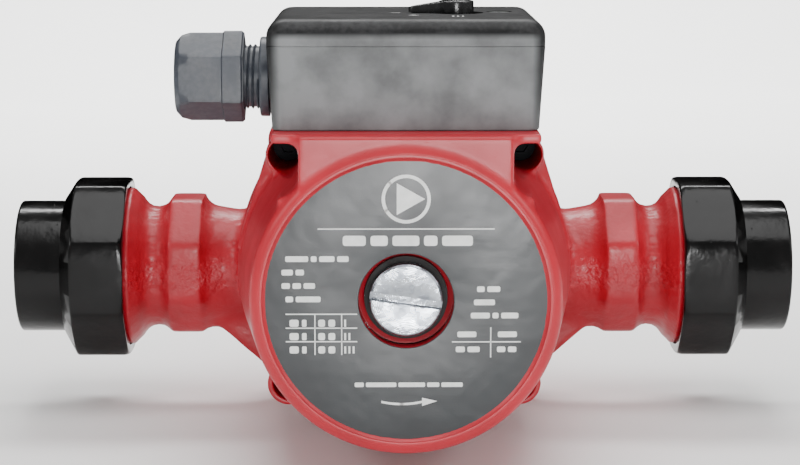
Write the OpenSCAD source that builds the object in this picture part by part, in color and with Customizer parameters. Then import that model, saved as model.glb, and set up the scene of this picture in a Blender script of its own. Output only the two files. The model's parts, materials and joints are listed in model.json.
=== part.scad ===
// In-line wet-rotor circulator pump with union connections.
// Origin: centre of the open end of the inlet tailpiece.
// +X runs along the pipe in the flow direction, -Y is the nameplate side, +Z is up.

/* [Pipe line] */
// Distance between the two port faces of the pump body
port_span = 180; // [175:1:240]
// Height of the motor shaft above the pipe axis
shaft_lift = 7; // [2:0.5:9]
// Outside diameter of the port thread
port_thread_d = 47.8; // [44:0.1:58]
// Length of the port thread
port_thread_len = 8.5; // [8.5:0.5:12]
// Diameter of the water passage inside the ports
passage_d = 19; // [14:0.5:21]
// Diameter of the neck behind the port thread
neck_d = 35.2; // [32:0.2:40]
// Width across flats of the octagonal wrench boss
boss_af = 40.6; // [38:0.2:50]
// Length of the wrench boss along the pipe
boss_len = 10.3; // [6:0.1:14]
// Height of the wrench boss's middle above the pipe axis
boss_rise = 1; // [0:0.1:2]
// Diameter of the pipe where it enters the volute
pipe_d = 34; // [30:0.5:38]

/* [Unions] */
// Width across flats of the octagonal union nut
nut_af = 52.4; // [51:0.2:66]
// How far the union nut reaches over the port thread
nut_cover = 7.6; // [5:0.1:8]
// Thickness of the shoulder that pulls on the tailpiece flange
nut_shoulder = 4.2; // [3:0.1:6]
// Axial length of the bevel on the nut's outer end
nut_bevel = 3.8; // [1:0.1:4]
// Pitch of the union thread
union_pitch = 2.309; // [1.5:0.001:3]
// Outside diameter of the tailpiece
tail_d = 39.4; // [36:0.2:42]
// Length of the tailpiece from its flange face to its open end
tail_len = 23.2; // [20:0.2:40]
// Thickness of the tailpiece flange
tail_flange_t = 4.5; // [3:0.1:6]
// Diameter of the female pipe thread in the tailpiece
tail_thread_d = 30.29; // [24:0.01:32]
// Length of the female pipe thread
tail_thread_len = 15.6; // [12:0.1:16]
// Thickness of the flat union gasket
gasket_t = 2; // [1:0.1:3]
// Thickness of the slip ring under the nut's shoulder
slip_ring_t = 0.8; // [0.5:0.1:1.5]

/* [Pump body] */
// Outside diameter of the bolted flange on the pump body
flange_d = 96; // [95:1:120]
// Depth of the body behind the pipe axis
body_back = 30; // [28:0.5:40]
// Distance of the flange face in front of the pipe axis
body_front = 26; // [26:0.5:34]
// Wall of the casting behind the inlet chamber
body_wall = 5; // [3:0.5:6]
// Diameter of the volute chamber
volute_d = 76; // [74:0.5:80]
// Impeller diameter
impeller_d = 70; // [50:1:72]
// Diameter of the impeller eye
eye_d = 22; // [16:0.5:24]
// Number of impeller blades
blade_count = 7; // [5:1:9]

/* [Motor] */
// Distance of the motor's front rim from the pipe axis
motor_front = 100; // [94:0.5:130]
// Outside diameter of the barrel at its front rim
rim_d = 82.5; // [80:0.5:100]
// Outside diameter of the barrel at its back
barrel_back_d = 94.5; // [84:0.5:104]
// Horizontal half distance between the housing screws
bolt_x = 33; // [32:0.2:40]
// Vertical half distance between the housing screws
bolt_y = 34; // [33:0.2:40]
// Thread diameter of the housing screws
bolt_d = 5; // [4:0.5:6]
// Diameter of the nameplate
nameplate_d = 74.8; // [60:0.2:76]
// Diameter of the hole around the vent plug
vent_hole_d = 25; // [22:0.2:30]
// Head diameter of the vent plug
vent_plug_d = 19.2; // [17:0.2:20]
// Pitch of the vent plug thread
vent_pitch = 1.5; // [1:0.1:2]
// Diameter of the motor shaft
shaft_d = 8; // [6:0.5:10]
// Diameter of the rotor core
rotor_d = 51; // [40:0.5:52]
// Length of the rotor and stator laminations
core_len = 40; // [30:1:44]
// Inner diameter of the rotor can
can_d = 52.6; // [52.4:0.1:53]

/* [Terminal box] */
// Height of the box floor above the shaft
platform_rise = 43.7; // [43:0.1:55]
// Width of the box along the pipe
box_w = 73; // [72:0.5:90]
// Depth of the box from front to back
box_depth = 67; // [60:0.5:68]
// Distance of the box front behind the motor's front rim
box_setback = 8; // [6:0.5:12]
// Height of the lower part of the box
base_h = 22.2; // [21:0.1:30]
// Height of the lid
lid_h = 7; // [5:0.5:9]
// Wall thickness of the box
box_wall = 2.2; // [1.8:0.1:3]
// Outside diameter of the cable gland thread
gland_thread_d = 17.8; // [16:0.1:18]
// Width across flats of the gland nut
gland_af = 21.8; // [21:0.1:24]
// Length of the gland nut
gland_nut_len = 18.7; // [16:0.1:24]
// Pitch of the gland thread
gland_pitch = 1.41; // [1:0.01:2]
// Diameter of the cable that the gland takes
cable_d = 9; // [7:0.1:9.5]
// Diameter of the speed selector hub
knob_d = 9.6; // [8:0.1:12]
// Reach of the selector's pointer from its axis
knob_reach = 13; // [9:0.5:14]

/* [Fits] */
// Radial clearance of turning threads, bearings and pins
run_fit = 0.05; // [0.02:0.01:0.1]
// Radial clearance of screws and loose covers
loose_fit = 0.3; // [0.2:0.05:0.5]

/* [Hidden] */
$fn = 64;
bite = 0.5; // how far joined solids run into each other
cut = 1; // how far a cutting solid runs past a face
fine_fn = 32;
right = 1;
left = -1;

// Pipe line, measured outwards from the pump's centre
half_span = port_span / 2;
half_length = half_span + gasket_t + tail_len;
centre_x = half_length;
thread_in = half_span - port_thread_len;
collar_slope = 4.5;
collar_step = 1.4;
collar_rise = 7;
neck_out = thread_in - collar_slope;
boss_out = half_span - 20;
boss_in = boss_out - boss_len;
boss_slope = 2.3;
shoulder_d = pipe_d + 4;
pipe_in = 20;
pipe_root = boss_in - 10.7;
port_bore_d = passage_d + 8;
port_bore_len = 12;
tail_bore_d = 26;
tail_flange_d = port_thread_d - 2;
gasket_bore_d = tail_bore_d + 1;
nut_in = half_span - nut_cover;
nut_seat = half_span + gasket_t + tail_flange_t + slip_ring_t;
nut_out = nut_seat + nut_shoulder;
nut_corner_d = nut_af + 3.2;
nut_end_d = tail_d + 2.6;

// Wet end, measured forwards from the pipe axis
eye_wall = 4;
volute_depth = 14;
seat_z = volute_depth;
seat_d = 88;
body_d = 93;
body_edge = 9;
flange_t = 8;
chamber_r = 16;
chamber_mid = body_wall - body_back + passage_d / 2 + 0.5;
knee_x = 60;
bend_relief = 0.3;
inlet_knee = [-knee_x, -shaft_lift, 0];
inlet_bend = [-31, 4 - shaft_lift, chamber_mid];
outlet_x = 32;
outlet_d = passage_d - 2;
volute_shift = 3;
outlet_shift = 7;
ear_d = 13;
wear_bore_d = eye_d + 2 * 0.8 + 2 * run_fit;
wear_d = wear_bore_d + 3;
wear_lip = 1.5;
shroud_t = 1.4;
shroud_z = 2;
blade_z = shroud_z + shroud_t;
blade_h = 4;
back_z = blade_z + blade_h;
hub_d = shaft_d + 5;
hub_end = back_z + shroud_t + 2;
hub_start = blade_z;
shaft_start = hub_start - 1;
plate_t = 2;
bearing_d = shaft_d + 6;
bearing_len = 12;
bearing_z = seat_z - 2;
holder_d = bearing_d + 6;
can_flange_z = seat_z + plate_t;
can_wall = 0.8;
can_flange_t = 1.5;
seal_z = can_flange_z + can_flange_t;
seal_t = 2.5;
spigot_z = seal_z + seal_t;
spigot_bore_d = seat_d - 7;
thrust_t = 3;
thrust_gap = 0.3;
thrust_z = bearing_z + bearing_len + thrust_gap;

// Motor, measured forwards from the pipe axis
core_mid = motor_front - 43;
core_z = core_mid - core_len / 2;
winding_len = 10;
winding_d = 75;
stator_bore_d = can_d + 2 * can_wall + 2 * run_fit;
stator_d = rim_d - 5;
can_end = motor_front - 12;
end_bearing_z = can_end - 10;
end_bearing_len = 8;
nose_d = vent_hole_d - 3;
nose_end = motor_front - 8;
vent_shank_d = 15;
vent_head_z = nose_end + 1.5; // the seal fills this gap
vent_head_t = 5;
slot_w = 2.1;
slot_depth = 2;
slot_turn = -8;
shaft_end = can_end - 3;
front_wall = 5;
label_recess = 1.8;
nameplate_t = 0.6;
print_t = 0.1;
rim_round = 3.2;
taper_z = body_front + 20;
housing_flange_d = flange_d - 2;
housing_flange_t = 7;
upper_tube_d = 10.8;
lower_tube_d = 12.4;
screw_head_d = bolt_d + 3.5;
screw_head_t = bolt_d;
screw_hole_d = screw_head_d + 0.5;
upper_tube_z = motor_front - 38;
lower_tube_z = body_front + 19;
screw_seat_z = body_front + 8;
screw_bite = 12;
neck_half = 28;
neck_fillet = 6;
lip_t = 2.6;
lip_half = box_w / 2 - 1.3;
window_w = 16;
window_d = 8;

// Terminal box, measured from the middle of its floor
box_mid = motor_front - box_setback - box_depth / 2;
box_taper = 2.6;
box_corner = 4;
floor_t = 2.5;
box_h = base_h + lid_h;
lid_wall = 1.8;
lid_round = 4;
window_y = box_mid - motor_front + 16;
gland_z = 11.8;
gland_y = -1.5;
gland_wall_x = box_w / 2 + 0.4;
gland_collar_t = 2.6;
gland_collar_d = gland_thread_d + 4;
gland_thread_len = 4.3;
gland_in = gland_wall_x + gland_collar_t + gland_thread_len;
gland_out = gland_in + gland_nut_len;
gland_bore_d = cable_d + 4;
gland_hidden = 4;
gland_tail = 3;
gland_entry_d = cable_d + 1.4;
clamp_t = 3;
gland_seal_d = gland_bore_d;
gland_end = gland_in + gland_hidden;
clamp_z = gland_end;
knob_x = 14;
knob_y = gland_y;
dish_d = 15;
dish_depth = 1;
knob_h = 4.4;
knob_shaft_d = 4.8;
knob_z = box_h - dish_depth + 0.2;
switch_half = 8;
switch_front = 10;
switch_depth = 19;
switch_h = 11.5;
rotor_socket = 4;
rotor_stub_h = 3;
rotor_stub_d = 8;
lid_screw_x = 26;
lid_screw_y = gland_y + 5;
lid_screw_d = 3.5;
lid_head_d = 6.4;
lid_head_t = 2.2;
lid_head_sink = 0.2;
lid_boss_d = 10;
post_d = 7;
seal_w = 1;
seal_h = 0.8;
base_screw_at = [[22, 22], [-20, -5]];
earth_x = 0;
earth_y = 18;
screw_m4 = 4;
block_at = [-31, -27];
block_pitch = 7;
block_depth = 12;
block_h = 9;
block_screw_d = 4.2;
block_wire_d = 2.6;
capacitor_at = [-17, 16];
capacitor_w = 24;
capacitor_d = 15;
capacitor_h = 15;

// ---- placing ----

// Frame of the shaft: x right, y up, z towards the nameplate
module on_shaft() {
    translate([centre_x, 0, shaft_lift]) rotate([90, 0, 0]) children();
}

// Frame of one pipe branch: z outwards along the pipe axis
module on_pipe(side) {
    translate([centre_x, 0, 0]) mirror([side == left ? 1 : 0, 0, 0])
        rotate([0, 90, 0]) children();
}

// Frame of the terminal box: the middle of its floor, x right, y back, z up
module on_platform() {
    translate([centre_x, -box_mid, shaft_lift + platform_rise]) children();
}

// Frame of the cable gland: z outwards to the left
module on_gland() {
    on_platform() translate([0, gland_y, gland_z]) rotate([0, -90, 0]) children();
}

// Four places of the housing screws
module at_bolts() {
    for (x = [left, right], y = [left, right])
        translate([x * bolt_x, y * bolt_y, 0]) children();
}

// ---- basic shapes ----

// Tube from z = from to z = to
module tube(outer_d, inner_d, from, to) {
    translate([0, 0, from]) difference() {
        cylinder(d = outer_d, h = to - from);
        translate([0, 0, -cut]) cylinder(d = inner_d, h = to - from + 2 * cut);
    }
}

// Rod from z = from to z = to
module rod(d, from, to) {
    translate([0, 0, from]) cylinder(d = d, h = to - from);
}

// Cone from z = from to z = to
module cone(d_from, d_to, from, to) {
    translate([0, 0, from]) cylinder(d1 = d_from, d2 = d_to, h = to - from);
}

// Straight round passage between two points in the pipe plane of the shaft frame
module passage(start, end, d) {
    run = end - start;
    reach = norm(run);
    translate(start)
        rotate([0, acos(run[2] / reach), atan2(run[1], run[0])])
            cylinder(d = d, h = reach);
}

// Octagonal bar with a flat on top and at the front
module octagon(flats, h) {
    rotate([0, 0, 22.5]) cylinder(d = flats / cos(22.5), h = h, $fn = 8);
}

// Flat rectangle with round corners, centred
module round_rect(w, d, r) {
    square([w - 2 * r, d], center = true);
    square([w, d - 2 * r], center = true);
    for (x = [left, right], y = [left, right])
        translate([x * (w / 2 - r), y * (d / 2 - r)]) circle(r = r, $fn = fine_fn);
}

// Thin slice used to shape the box
module slice(w, d, r, z) {
    translate([0, 0, z]) linear_extrude(0.01) round_rect(w, d, r);
}

// ---- pump body ----

// Outside of the bowl behind the flange, a turned profile
module bowl() {
    rotate_extrude()
        union() {
            translate([0, -body_back]) square([body_d / 2 - body_edge, body_back + body_front]);
            translate([0, body_edge - body_back])
                square([body_d / 2, body_back + body_front - body_edge]);
            translate([body_d / 2 - body_edge, body_edge - body_back]) circle(r = body_edge);
            translate([0, body_front - flange_t]) square([flange_d / 2, flange_t]);
        }
}

// One pipe branch with neck, wrench boss and threaded port
module branch() {
    rod(pipe_d, pipe_in, pipe_root + bite);
    cone(pipe_d, shoulder_d, pipe_root, boss_in + bite);
    translate([-boss_rise, 0, 0]) intersection() {
        translate([0, 0, boss_in]) octagon(boss_af, boss_len);
        rod(boss_af + 2.4, boss_in, boss_out);
    }
    cone(boss_af - bite, neck_d, boss_out - bite, boss_out + boss_slope);
    rod(neck_d, boss_in, neck_out + bite);
    cone(neck_d, neck_d + collar_rise, neck_out, neck_out + collar_step);
    cone(neck_d + collar_rise - bite, port_thread_d - 0.6, neck_out + collar_step - bite / 2,
        thread_in);
    rod(port_thread_d, thread_in - bite, half_span - union_pitch / 2);
    cone(port_thread_d, port_thread_d - union_pitch, half_span - union_pitch / 2, half_span);
}

// Wedge web from the branch down to the lower screw ear
module web(side) {
    pipe_low = -shaft_lift - neck_d / 2;
    web_back = 10;
    web_front = 10;
    web_rise = 2;
    web_foot = bolt_x + ear_d / 2 + 2;
    translate([0, 0, -web_back])
        linear_extrude(web_back + web_front)
            polygon([[side * pipe_in, pipe_low / 2], [side * (boss_in - 3), pipe_low + web_rise],
                [side * web_foot, -bolt_y - web_rise], [side * pipe_in, -bolt_y]]);
}

module pump_body() {
    color("firebrick") difference() {
        union() {
            on_shaft() bowl();
            for (side = [left, right]) {
                on_pipe(side) branch();
                on_shaft() web(side);
            }
            on_shaft() at_bolts() rod(ear_d, body_front - screw_bite - 4, body_front);
        }
        for (side = [left, right]) on_pipe(side) {
            rod(port_bore_d, half_span - port_bore_len, half_span + cut);
            rod(passage_d, knee_x - bite, half_span);
        }
        on_shaft() {
            passage(inlet_knee, inlet_bend, passage_d);
            for (at = [inlet_knee, inlet_bend])
                translate(at) rotate([90, 0, 0])
                    cylinder(d = passage_d + 2 * bend_relief, h = passage_d + bend_relief, center = true);
            passage(inlet_bend, [0, 0, chamber_mid], passage_d);
            rod(2 * chamber_r, chamber_mid - passage_d / 2 - bend_relief, -eye_wall);
            rod(wear_d, -eye_wall - cut, cut);
            rod(volute_d, 0, seat_z + cut);
            translate([volute_shift, 0, 0]) rod(volute_d + 1, 0, seat_z);
            passage([knee_x + bite, -shaft_lift, 0], [outlet_x, -shaft_lift, outlet_shift],
                outlet_d);
            rod(seat_d, seat_z, body_front + cut);
            at_bolts() rod(bolt_d + 2 * run_fit, body_front - screw_bite, body_front + cut);
        }
    }
}

module wear_ring() {
    color("silver") on_shaft() {
        tube(wear_d, wear_bore_d, -eye_wall, 0);
        tube(wear_bore_d + 1.6, wear_bore_d, -bite, wear_lip);
    }
}

// ---- unions ----

module union_gasket(side) {
    on_pipe(side) tube(tail_flange_d, gasket_bore_d, half_span, half_span + gasket_t);
}

module tailpiece(side) {
    flange_z = half_span + gasket_t;
    on_pipe(side) difference() {
        union() {
            rod(tail_flange_d, flange_z, flange_z + tail_flange_t);
            rod(tail_d, flange_z, half_length);
        }
        rod(tail_bore_d, flange_z - cut, half_length);
        rod(tail_thread_d, half_length - tail_thread_len, half_length + cut);
    }
}

module slip_ring(side) {
    on_pipe(side) tube(tail_flange_d, tail_d + 2 * loose_fit, nut_seat - slip_ring_t, nut_seat);
}

module union_nut(side) {
    nut_len = nut_out - nut_in;
    on_pipe(side) difference() {
        intersection() {
            translate([0, 0, nut_in]) octagon(nut_af, nut_len);
            translate([0, 0, nut_in]) rotate_extrude()
                polygon([[0, 0], [nut_corner_d / 2 - 1, 0], [nut_corner_d / 2, 1],
                    [nut_corner_d / 2, nut_len - nut_bevel], [nut_end_d / 2, nut_len],
                    [0, nut_len]]);
        }
        rod(port_thread_d + 2 * run_fit, nut_in - cut, nut_seat);
        rod(tail_d + 2 * loose_fit, nut_seat - cut, nut_out + cut);
    }
}

module inlet_gasket() { color("dimgray") union_gasket(left); }
module inlet_tailpiece() { color([0.05, 0.05, 0.05]) tailpiece(left); }
module inlet_slip_ring() { color("silver") slip_ring(left); }
module inlet_union_nut() { color([0.05, 0.05, 0.05]) union_nut(left); }
module outlet_gasket() { color("dimgray") union_gasket(right); }
module outlet_tailpiece() { color([0.05, 0.05, 0.05]) tailpiece(right); }
module outlet_slip_ring() { color("silver") slip_ring(right); }
module outlet_union_nut() { color([0.05, 0.05, 0.05]) union_nut(right); }

// ---- rotor ----

module shaft() {
    color("gainsboro") on_shaft() difference() {
        rod(shaft_d, shaft_start, shaft_end);
        translate([0, 0, shaft_end]) cube([slot_w / 2, shaft_d + cut, 2 * slot_depth], center = true);
    }
}

// One swept-back blade, an arc that leans against the turn
module blade() {
    lean_r = impeller_d * 0.42;
    blade_t = 1.5;
    intersection() {
        difference() {
            rod(impeller_d - bite, blade_z, back_z + shroud_t / 2);
            rod(eye_d - 1, blade_z - cut, back_z + cut);
        }
        translate([0, lean_r + hub_d / 4, 0]) tube(2 * lean_r + blade_t, 2 * lean_r - blade_t,
            blade_z, back_z + shroud_t / 2);
        translate([0, -impeller_d, blade_z - cut])
            cube([impeller_d, 2 * impeller_d, blade_h + 2 * cut]);
    }
}

// Hub side of the impeller with its blades
module impeller() {
    color("wheat") on_shaft() {
        tube(impeller_d, shaft_d, back_z, back_z + shroud_t);
        tube(hub_d, shaft_d, hub_start, hub_end);
        for (i = [0:blade_count - 1]) rotate([0, 0, i * 360 / blade_count]) blade();
    }
}

// Eye side of the impeller, welded on to the blades
module impeller_shroud() {
    neck = eye_d + 1.6;
    color("wheat") on_shaft() {
        tube(impeller_d, eye_d, shroud_z, blade_z);
        tube(neck, eye_d, -eye_wall + 1, blade_z);
    }
}

module thrust_ring() {
    color("darkslategray") on_shaft() tube(bearing_d + 2, shaft_d, thrust_z, thrust_z + thrust_t);
}

module rotor_core() {
    color("gray") on_shaft() tube(rotor_d, shaft_d, core_z, core_z + core_len);
}

module rotor_sleeve() {
    sleeve_d = rotor_d + 0.6;
    end_t = 0.5;
    color("silver") on_shaft() {
        tube(sleeve_d, rotor_d, core_z, core_z + core_len);
        tube(sleeve_d, shaft_d, core_z - end_t, core_z);
        tube(sleeve_d, shaft_d, core_z + core_len, core_z + core_len + end_t);
    }
}

// ---- wet end inserts ----

module bearing_plate() {
    flow_hole_d = 3;
    color("silver") on_shaft() difference() {
        union() {
            rod(seat_d - 2 * run_fit, seat_z, can_flange_z);
            rod(holder_d, bearing_z, bearing_z + bearing_len);
        }
        rod(bearing_d, bearing_z - cut, bearing_z + bearing_len + cut);
        for (turn = [45:90:315]) rotate([0, 0, turn]) translate([volute_d / 3, 0, 0])
            rod(flow_hole_d, seat_z - cut, can_flange_z + cut);
    }
}

module front_bearing() {
    color([0.15, 0.15, 0.15]) on_shaft()
        tube(bearing_d, shaft_d + 2 * run_fit, bearing_z, bearing_z + bearing_len);
}

module rear_bearing() {
    color([0.15, 0.15, 0.15]) on_shaft()
        tube(bearing_d, shaft_d + 2 * run_fit, end_bearing_z, end_bearing_z + end_bearing_len);
}

module rotor_can() {
    outer = can_d + 2 * can_wall;
    color("silver") on_shaft() {
        tube(seat_d - 2 * run_fit, can_d, can_flange_z, seal_z);
        tube(outer, can_d, can_flange_z, can_end);
        tube(outer, vent_shank_d + 2 * run_fit, can_end - can_wall, can_end);
        tube(nose_d, vent_shank_d + 2 * run_fit, can_end - can_wall, nose_end);
        difference() {
            tube(holder_d + 2, bearing_d, end_bearing_z, can_end - can_wall + 0.1);
            translate([0, 0, can_end - 2]) rod(vent_shank_d + 2 * run_fit, -cut, 2 + cut);
        }
    }
}

module can_seal() {
    color([0.1, 0.1, 0.1]) on_shaft()
        tube(seat_d - 2 * run_fit, spigot_bore_d, seal_z, spigot_z);
}

// ---- motor ----

// Outline of the flat front: the rim with the neck that carries the box
module front_outline() {
    fillet_x = neck_half + neck_fillet;
    fillet_y = sqrt(pow(rim_d / 2 + neck_fillet, 2) - pow(fillet_x, 2));
    circle(d = rim_d);
    difference() {
        translate([-fillet_x, 0]) square([2 * fillet_x, platform_rise - lip_t + bite]);
        for (side = [left, right]) {
            translate([side * fillet_x, fillet_y]) circle(r = neck_fillet);
            translate([side == left ? -fillet_x - cut : neck_half, fillet_y])
                square([neck_fillet + cut, platform_rise]);
            translate([side == left ? -fillet_x - cut : fillet_x - bite, -cut])
                square([bite + cut, platform_rise]);
        }
    }
}

// Wall between an upper screw tube and the side of the barrel
module flank(side) {
    tube_side = bolt_x + upper_tube_d / 2 - 0.4;
    barrel_side = barrel_back_d / 2 - 0.4;
    polygon([[side * bolt_x, bolt_y + 1], [side * tube_side, bolt_y + 1],
        [side * barrel_side, shaft_lift], [side * 0.8 * barrel_side, shaft_lift]]);
}

// Barrel with a rounded front rim, straight at the back and tapered towards the front
module barrel() {
    front_z = motor_front - rim_round;
    rod(barrel_back_d, body_front, taper_z);
    cone(barrel_back_d, rim_d, taper_z, front_z);
    translate([0, 0, front_z]) rotate_extrude() union() {
        square([rim_d / 2 - rim_round, rim_round]);
        translate([rim_d / 2 - rim_round, 0]) intersection() {
            circle(r = rim_round);
            square(rim_round);
        }
    }
}

module stator_housing() {
    label_z = motor_front - label_recess;
    flat_front = motor_front - 0.8;
    lip_front = motor_front - 2.5;
    lip_back = box_mid - box_depth / 2 + 1;
    neck_back = body_front + 2;
    outline_back = motor_front - 24;
    hole_back = motor_front - 20;
    base_thread_len = 7;
    earth_thread_len = 4;
    color("firebrick") on_shaft() difference() {
        union() {
            barrel();
            translate([0, 0, outline_back])
                linear_extrude(motor_front - rim_round - outline_back) front_outline();
            translate([-neck_half, 0, neck_back])
                cube([2 * neck_half, platform_rise - bite, flat_front - neck_back]);
            translate([-lip_half, platform_rise - lip_t, lip_back])
                cube([2 * lip_half, lip_t, lip_front - lip_back]);
            rod(housing_flange_d, body_front, body_front + housing_flange_t);
            rod(seat_d - 2 * run_fit, spigot_z, body_front + bite);
            for (side = [left, right]) {
                translate([side * bolt_x, bolt_y, 0]) rod(upper_tube_d, body_front, upper_tube_z);
                translate([side * bolt_x, -bolt_y, 0]) rod(lower_tube_d, body_front, lower_tube_z);
                translate([0, 0, body_front]) linear_extrude(upper_tube_z - body_front - 6)
                    flank(side);
            }
        }
        translate([-housing_flange_d / 2, platform_rise, 0])
            cube([housing_flange_d, housing_flange_d, motor_front]);
        rod(spigot_bore_d, spigot_z - cut, core_z - winding_len);
        rod(stator_d, core_z - winding_len - cut, motor_front - front_wall - label_recess);
        rod(vent_hole_d, hole_back, motor_front + cut);
        rod(nameplate_d + 0.5, label_z, motor_front + cut);
        at_bolts() {
            rod(screw_hole_d, screw_seat_z, motor_front);
            rod(bolt_d + 2 * loose_fit, body_front - cut, screw_seat_z + cut);
        }
        translate([-window_w / 2, stator_d / 2 - 4, box_mid - window_y - window_d / 2])
            cube([window_w, platform_rise, window_d]);
        for (at = base_screw_at) translate([at[0], 0, box_mid - at[1]])
            rotate([-90, 0, 0]) rod(screw_m4, platform_rise - base_thread_len, platform_rise + cut);
        translate([earth_x, 0, box_mid - earth_y])
            rotate([-90, 0, 0]) rod(screw_m4, platform_rise - earth_thread_len, platform_rise + cut);
    }
}

module stator_core() {
    slot_count = 24;
    slot_d = 3;
    slot_pitch_r = stator_bore_d / 2 + 4;
    color("slategray") on_shaft() difference() {
        tube(stator_d, stator_bore_d, core_z, core_z + core_len);
        for (i = [0:slot_count - 1]) rotate([0, 0, i * 360 / slot_count])
            translate([slot_pitch_r, 0, 0]) rod(slot_d, core_z - cut, core_z + core_len + cut);
    }
}

// End turns of the copper windings at both ends of the core
module windings() {
    bundle = (winding_d - stator_bore_d) / 2 - 2;
    mid_r = stator_bore_d / 2 + 1 + bundle / 2;
    color("chocolate") on_shaft()
        for (z = [core_z - winding_len, core_z + core_len]) translate([0, 0, z])
            rotate_extrude() translate([mid_r, winding_len / 2])
                round_rect(bundle, winding_len, 2);
}

// Four lead wires from the end turns up into the terminal box
module stator_leads() {
    lead_d = 2;
    lead_gap = 3.4;
    lead_up = platform_rise + 6;
    start = winding_d / 2 - 3;
    color("navy") on_shaft()
        for (i = [-1.5:1:1.5]) translate([i * lead_gap, 0, box_mid - window_y])
            rotate([-90, 0, 0]) rod(lead_d, start, lead_up);
}

module housing_screws() {
    color([0.12, 0.12, 0.12]) on_shaft() at_bolts() difference() {
        union() {
            rod(bolt_d, body_front - screw_bite + cut, screw_seat_z);
            rod(screw_head_d, screw_seat_z, screw_seat_z + screw_head_t);
        }
        translate([0, 0, screw_seat_z + screw_head_t / 2])
            cylinder(d = bolt_d * 0.9, h = screw_head_t, $fn = 6);
    }
}

module nameplate() {
    label_z = motor_front - label_recess;
    color("gray") on_shaft() tube(nameplate_d, vent_hole_d, label_z, label_z + nameplate_t);
}

// Rules, a data grid, speed bars and a flow arrow, all without words
module nameplate_print() {
    top_z = motor_front - label_recess + nameplate_t;
    rule = 0.5;
    grid_x = [-27, -20, -14];
    color("white") on_shaft() translate([0, 0, top_z]) {
        translate([-16, 17.5, 0]) cube([32, rule, print_t]);
        for (row = [0:3]) translate([grid_x[0], -3 - row * 4.2, 0])
            cube([14.5, rule, print_t]);
        for (row = [0:1]) translate([15, -6 - row * 6, 0]) cube([16, rule, print_t]);
        for (i = [0:2], bar = [0:i]) translate([-11 + bar * 1.6, -6.5 - i * 4.2, 0])
            cube([0.6, 2.4, print_t]);
        translate([-8, -27.5, 0]) cube([12, 0.8, print_t]);
        translate([0, -27.1, 0]) linear_extrude(print_t)
            polygon([[4, -1.6], [8, 0], [4, 1.6]]);
    }
}

module vent_seal() {
    color([0.1, 0.1, 0.1]) on_shaft()
        tube(nose_d, vent_shank_d + 2 * run_fit, nose_end, vent_head_z);
}

module vent_plug() {
    head_end = vent_head_z + vent_head_t;
    color("silver") on_shaft() difference() {
        union() {
            cone(vent_shank_d - vent_pitch, vent_shank_d, can_end, can_end + vent_pitch);
            rod(vent_shank_d, can_end + vent_pitch, vent_head_z + bite);
            rod(vent_plug_d, vent_head_z, head_end);
        }
        translate([0, 0, head_end]) rotate([0, 0, slot_turn])
            cube([vent_plug_d + cut, slot_w, 2 * slot_depth], center = true);
    }
}

// ---- terminal box ----

// Outside of the lower box, slightly wider at the top
module base_outer() {
    hull() {
        slice(box_w - box_taper, box_depth - box_taper, box_corner, 0);
        slice(box_w, box_depth, box_corner, base_h - 0.01);
    }
}

// Outside of the lid with a rounded top edge
module lid_outer() {
    hull() {
        slice(box_w, box_depth, box_corner, base_h);
        slice(box_w, box_depth, box_corner, box_h - lid_round);
        slice(box_w - 0.3 * lid_round, box_depth - 0.3 * lid_round, box_corner,
            box_h - 0.45 * lid_round);
        slice(box_w - lid_round, box_depth - lid_round, box_corner, box_h - 0.15 * lid_round);
        slice(box_w - 1.7 * lid_round, box_depth - 1.7 * lid_round, box_corner, box_h - 0.01);
    }
}

module terminal_base() {
    inner_w = box_w - box_taper - 2 * box_wall;
    inner_d = box_depth - box_taper - 2 * box_wall;
    boss_reach = 3;
    color([0.1, 0.1, 0.1]) difference() {
        union() {
            on_platform() difference() {
                base_outer();
                translate([0, 0, floor_t]) linear_extrude(base_h)
                    round_rect(inner_w, inner_d, box_corner - 1);
            }
            on_platform() translate([lid_screw_x, lid_screw_y, 0])
                rod(post_d, floor_t - bite, base_h);
            intersection() {
                on_gland() rod(gland_collar_d, inner_w / 2 - boss_reach, gland_wall_x);
                on_platform() translate([-box_w, -box_depth, 0])
                    cube([box_w, 2 * box_depth, base_h]);
            }
        }
        on_gland() rod(gland_thread_d, inner_w / 2 - boss_reach - cut, gland_wall_x + cut);
        on_platform() {
            translate([-window_w / 2, window_y - window_d / 2, -cut])
                cube([window_w, window_d, floor_t + 2 * cut]);
            translate([lid_screw_x, lid_screw_y, 0])
                rod(lid_screw_d + 2 * run_fit, floor_t + 2, base_h + cut);
            for (at = base_screw_at) translate(at)
                rod(screw_m4 + loose_fit, -cut, floor_t + cut);
            translate([earth_x, earth_y, 0]) rod(screw_m4 + loose_fit, -cut, floor_t + cut);
        }
    }
}

// Pan head screw standing on z = 0 with its shank below
module pan_screw(d, head_d, head_t, shank) {
    difference() {
        union() {
            rod(d, -shank, bite);
            rod(head_d, 0, head_t);
        }
        for (turn = [0, 90]) rotate([0, 0, turn]) translate([0, 0, head_t])
            cube([head_d * 0.6, 0.9, head_t], center = true);
    }
}

module base_screws() {
    color("silver") on_platform() for (at = base_screw_at)
        translate([at[0], at[1], floor_t]) pan_screw(screw_m4, 7, 2.4, floor_t + 6);
}

module lid_seal() {
    outer_w = box_w - box_taper - 2 * box_wall + 2 * seal_w;
    outer_d = box_depth - box_taper - 2 * box_wall + 2 * seal_w;
    color("dimgray") on_platform() translate([0, 0, base_h]) linear_extrude(seal_h)
        difference() {
            round_rect(outer_w, outer_d, box_corner);
            round_rect(outer_w - 2 * seal_w, outer_d - 2 * seal_w, box_corner - 1);
        }
}

module capacitor() {
    color([0.3, 0.3, 0.34]) on_platform()
        translate([capacitor_at[0], capacitor_at[1], floor_t])
            linear_extrude(capacitor_h) round_rect(capacitor_w, capacitor_d, 2);
}

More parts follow.
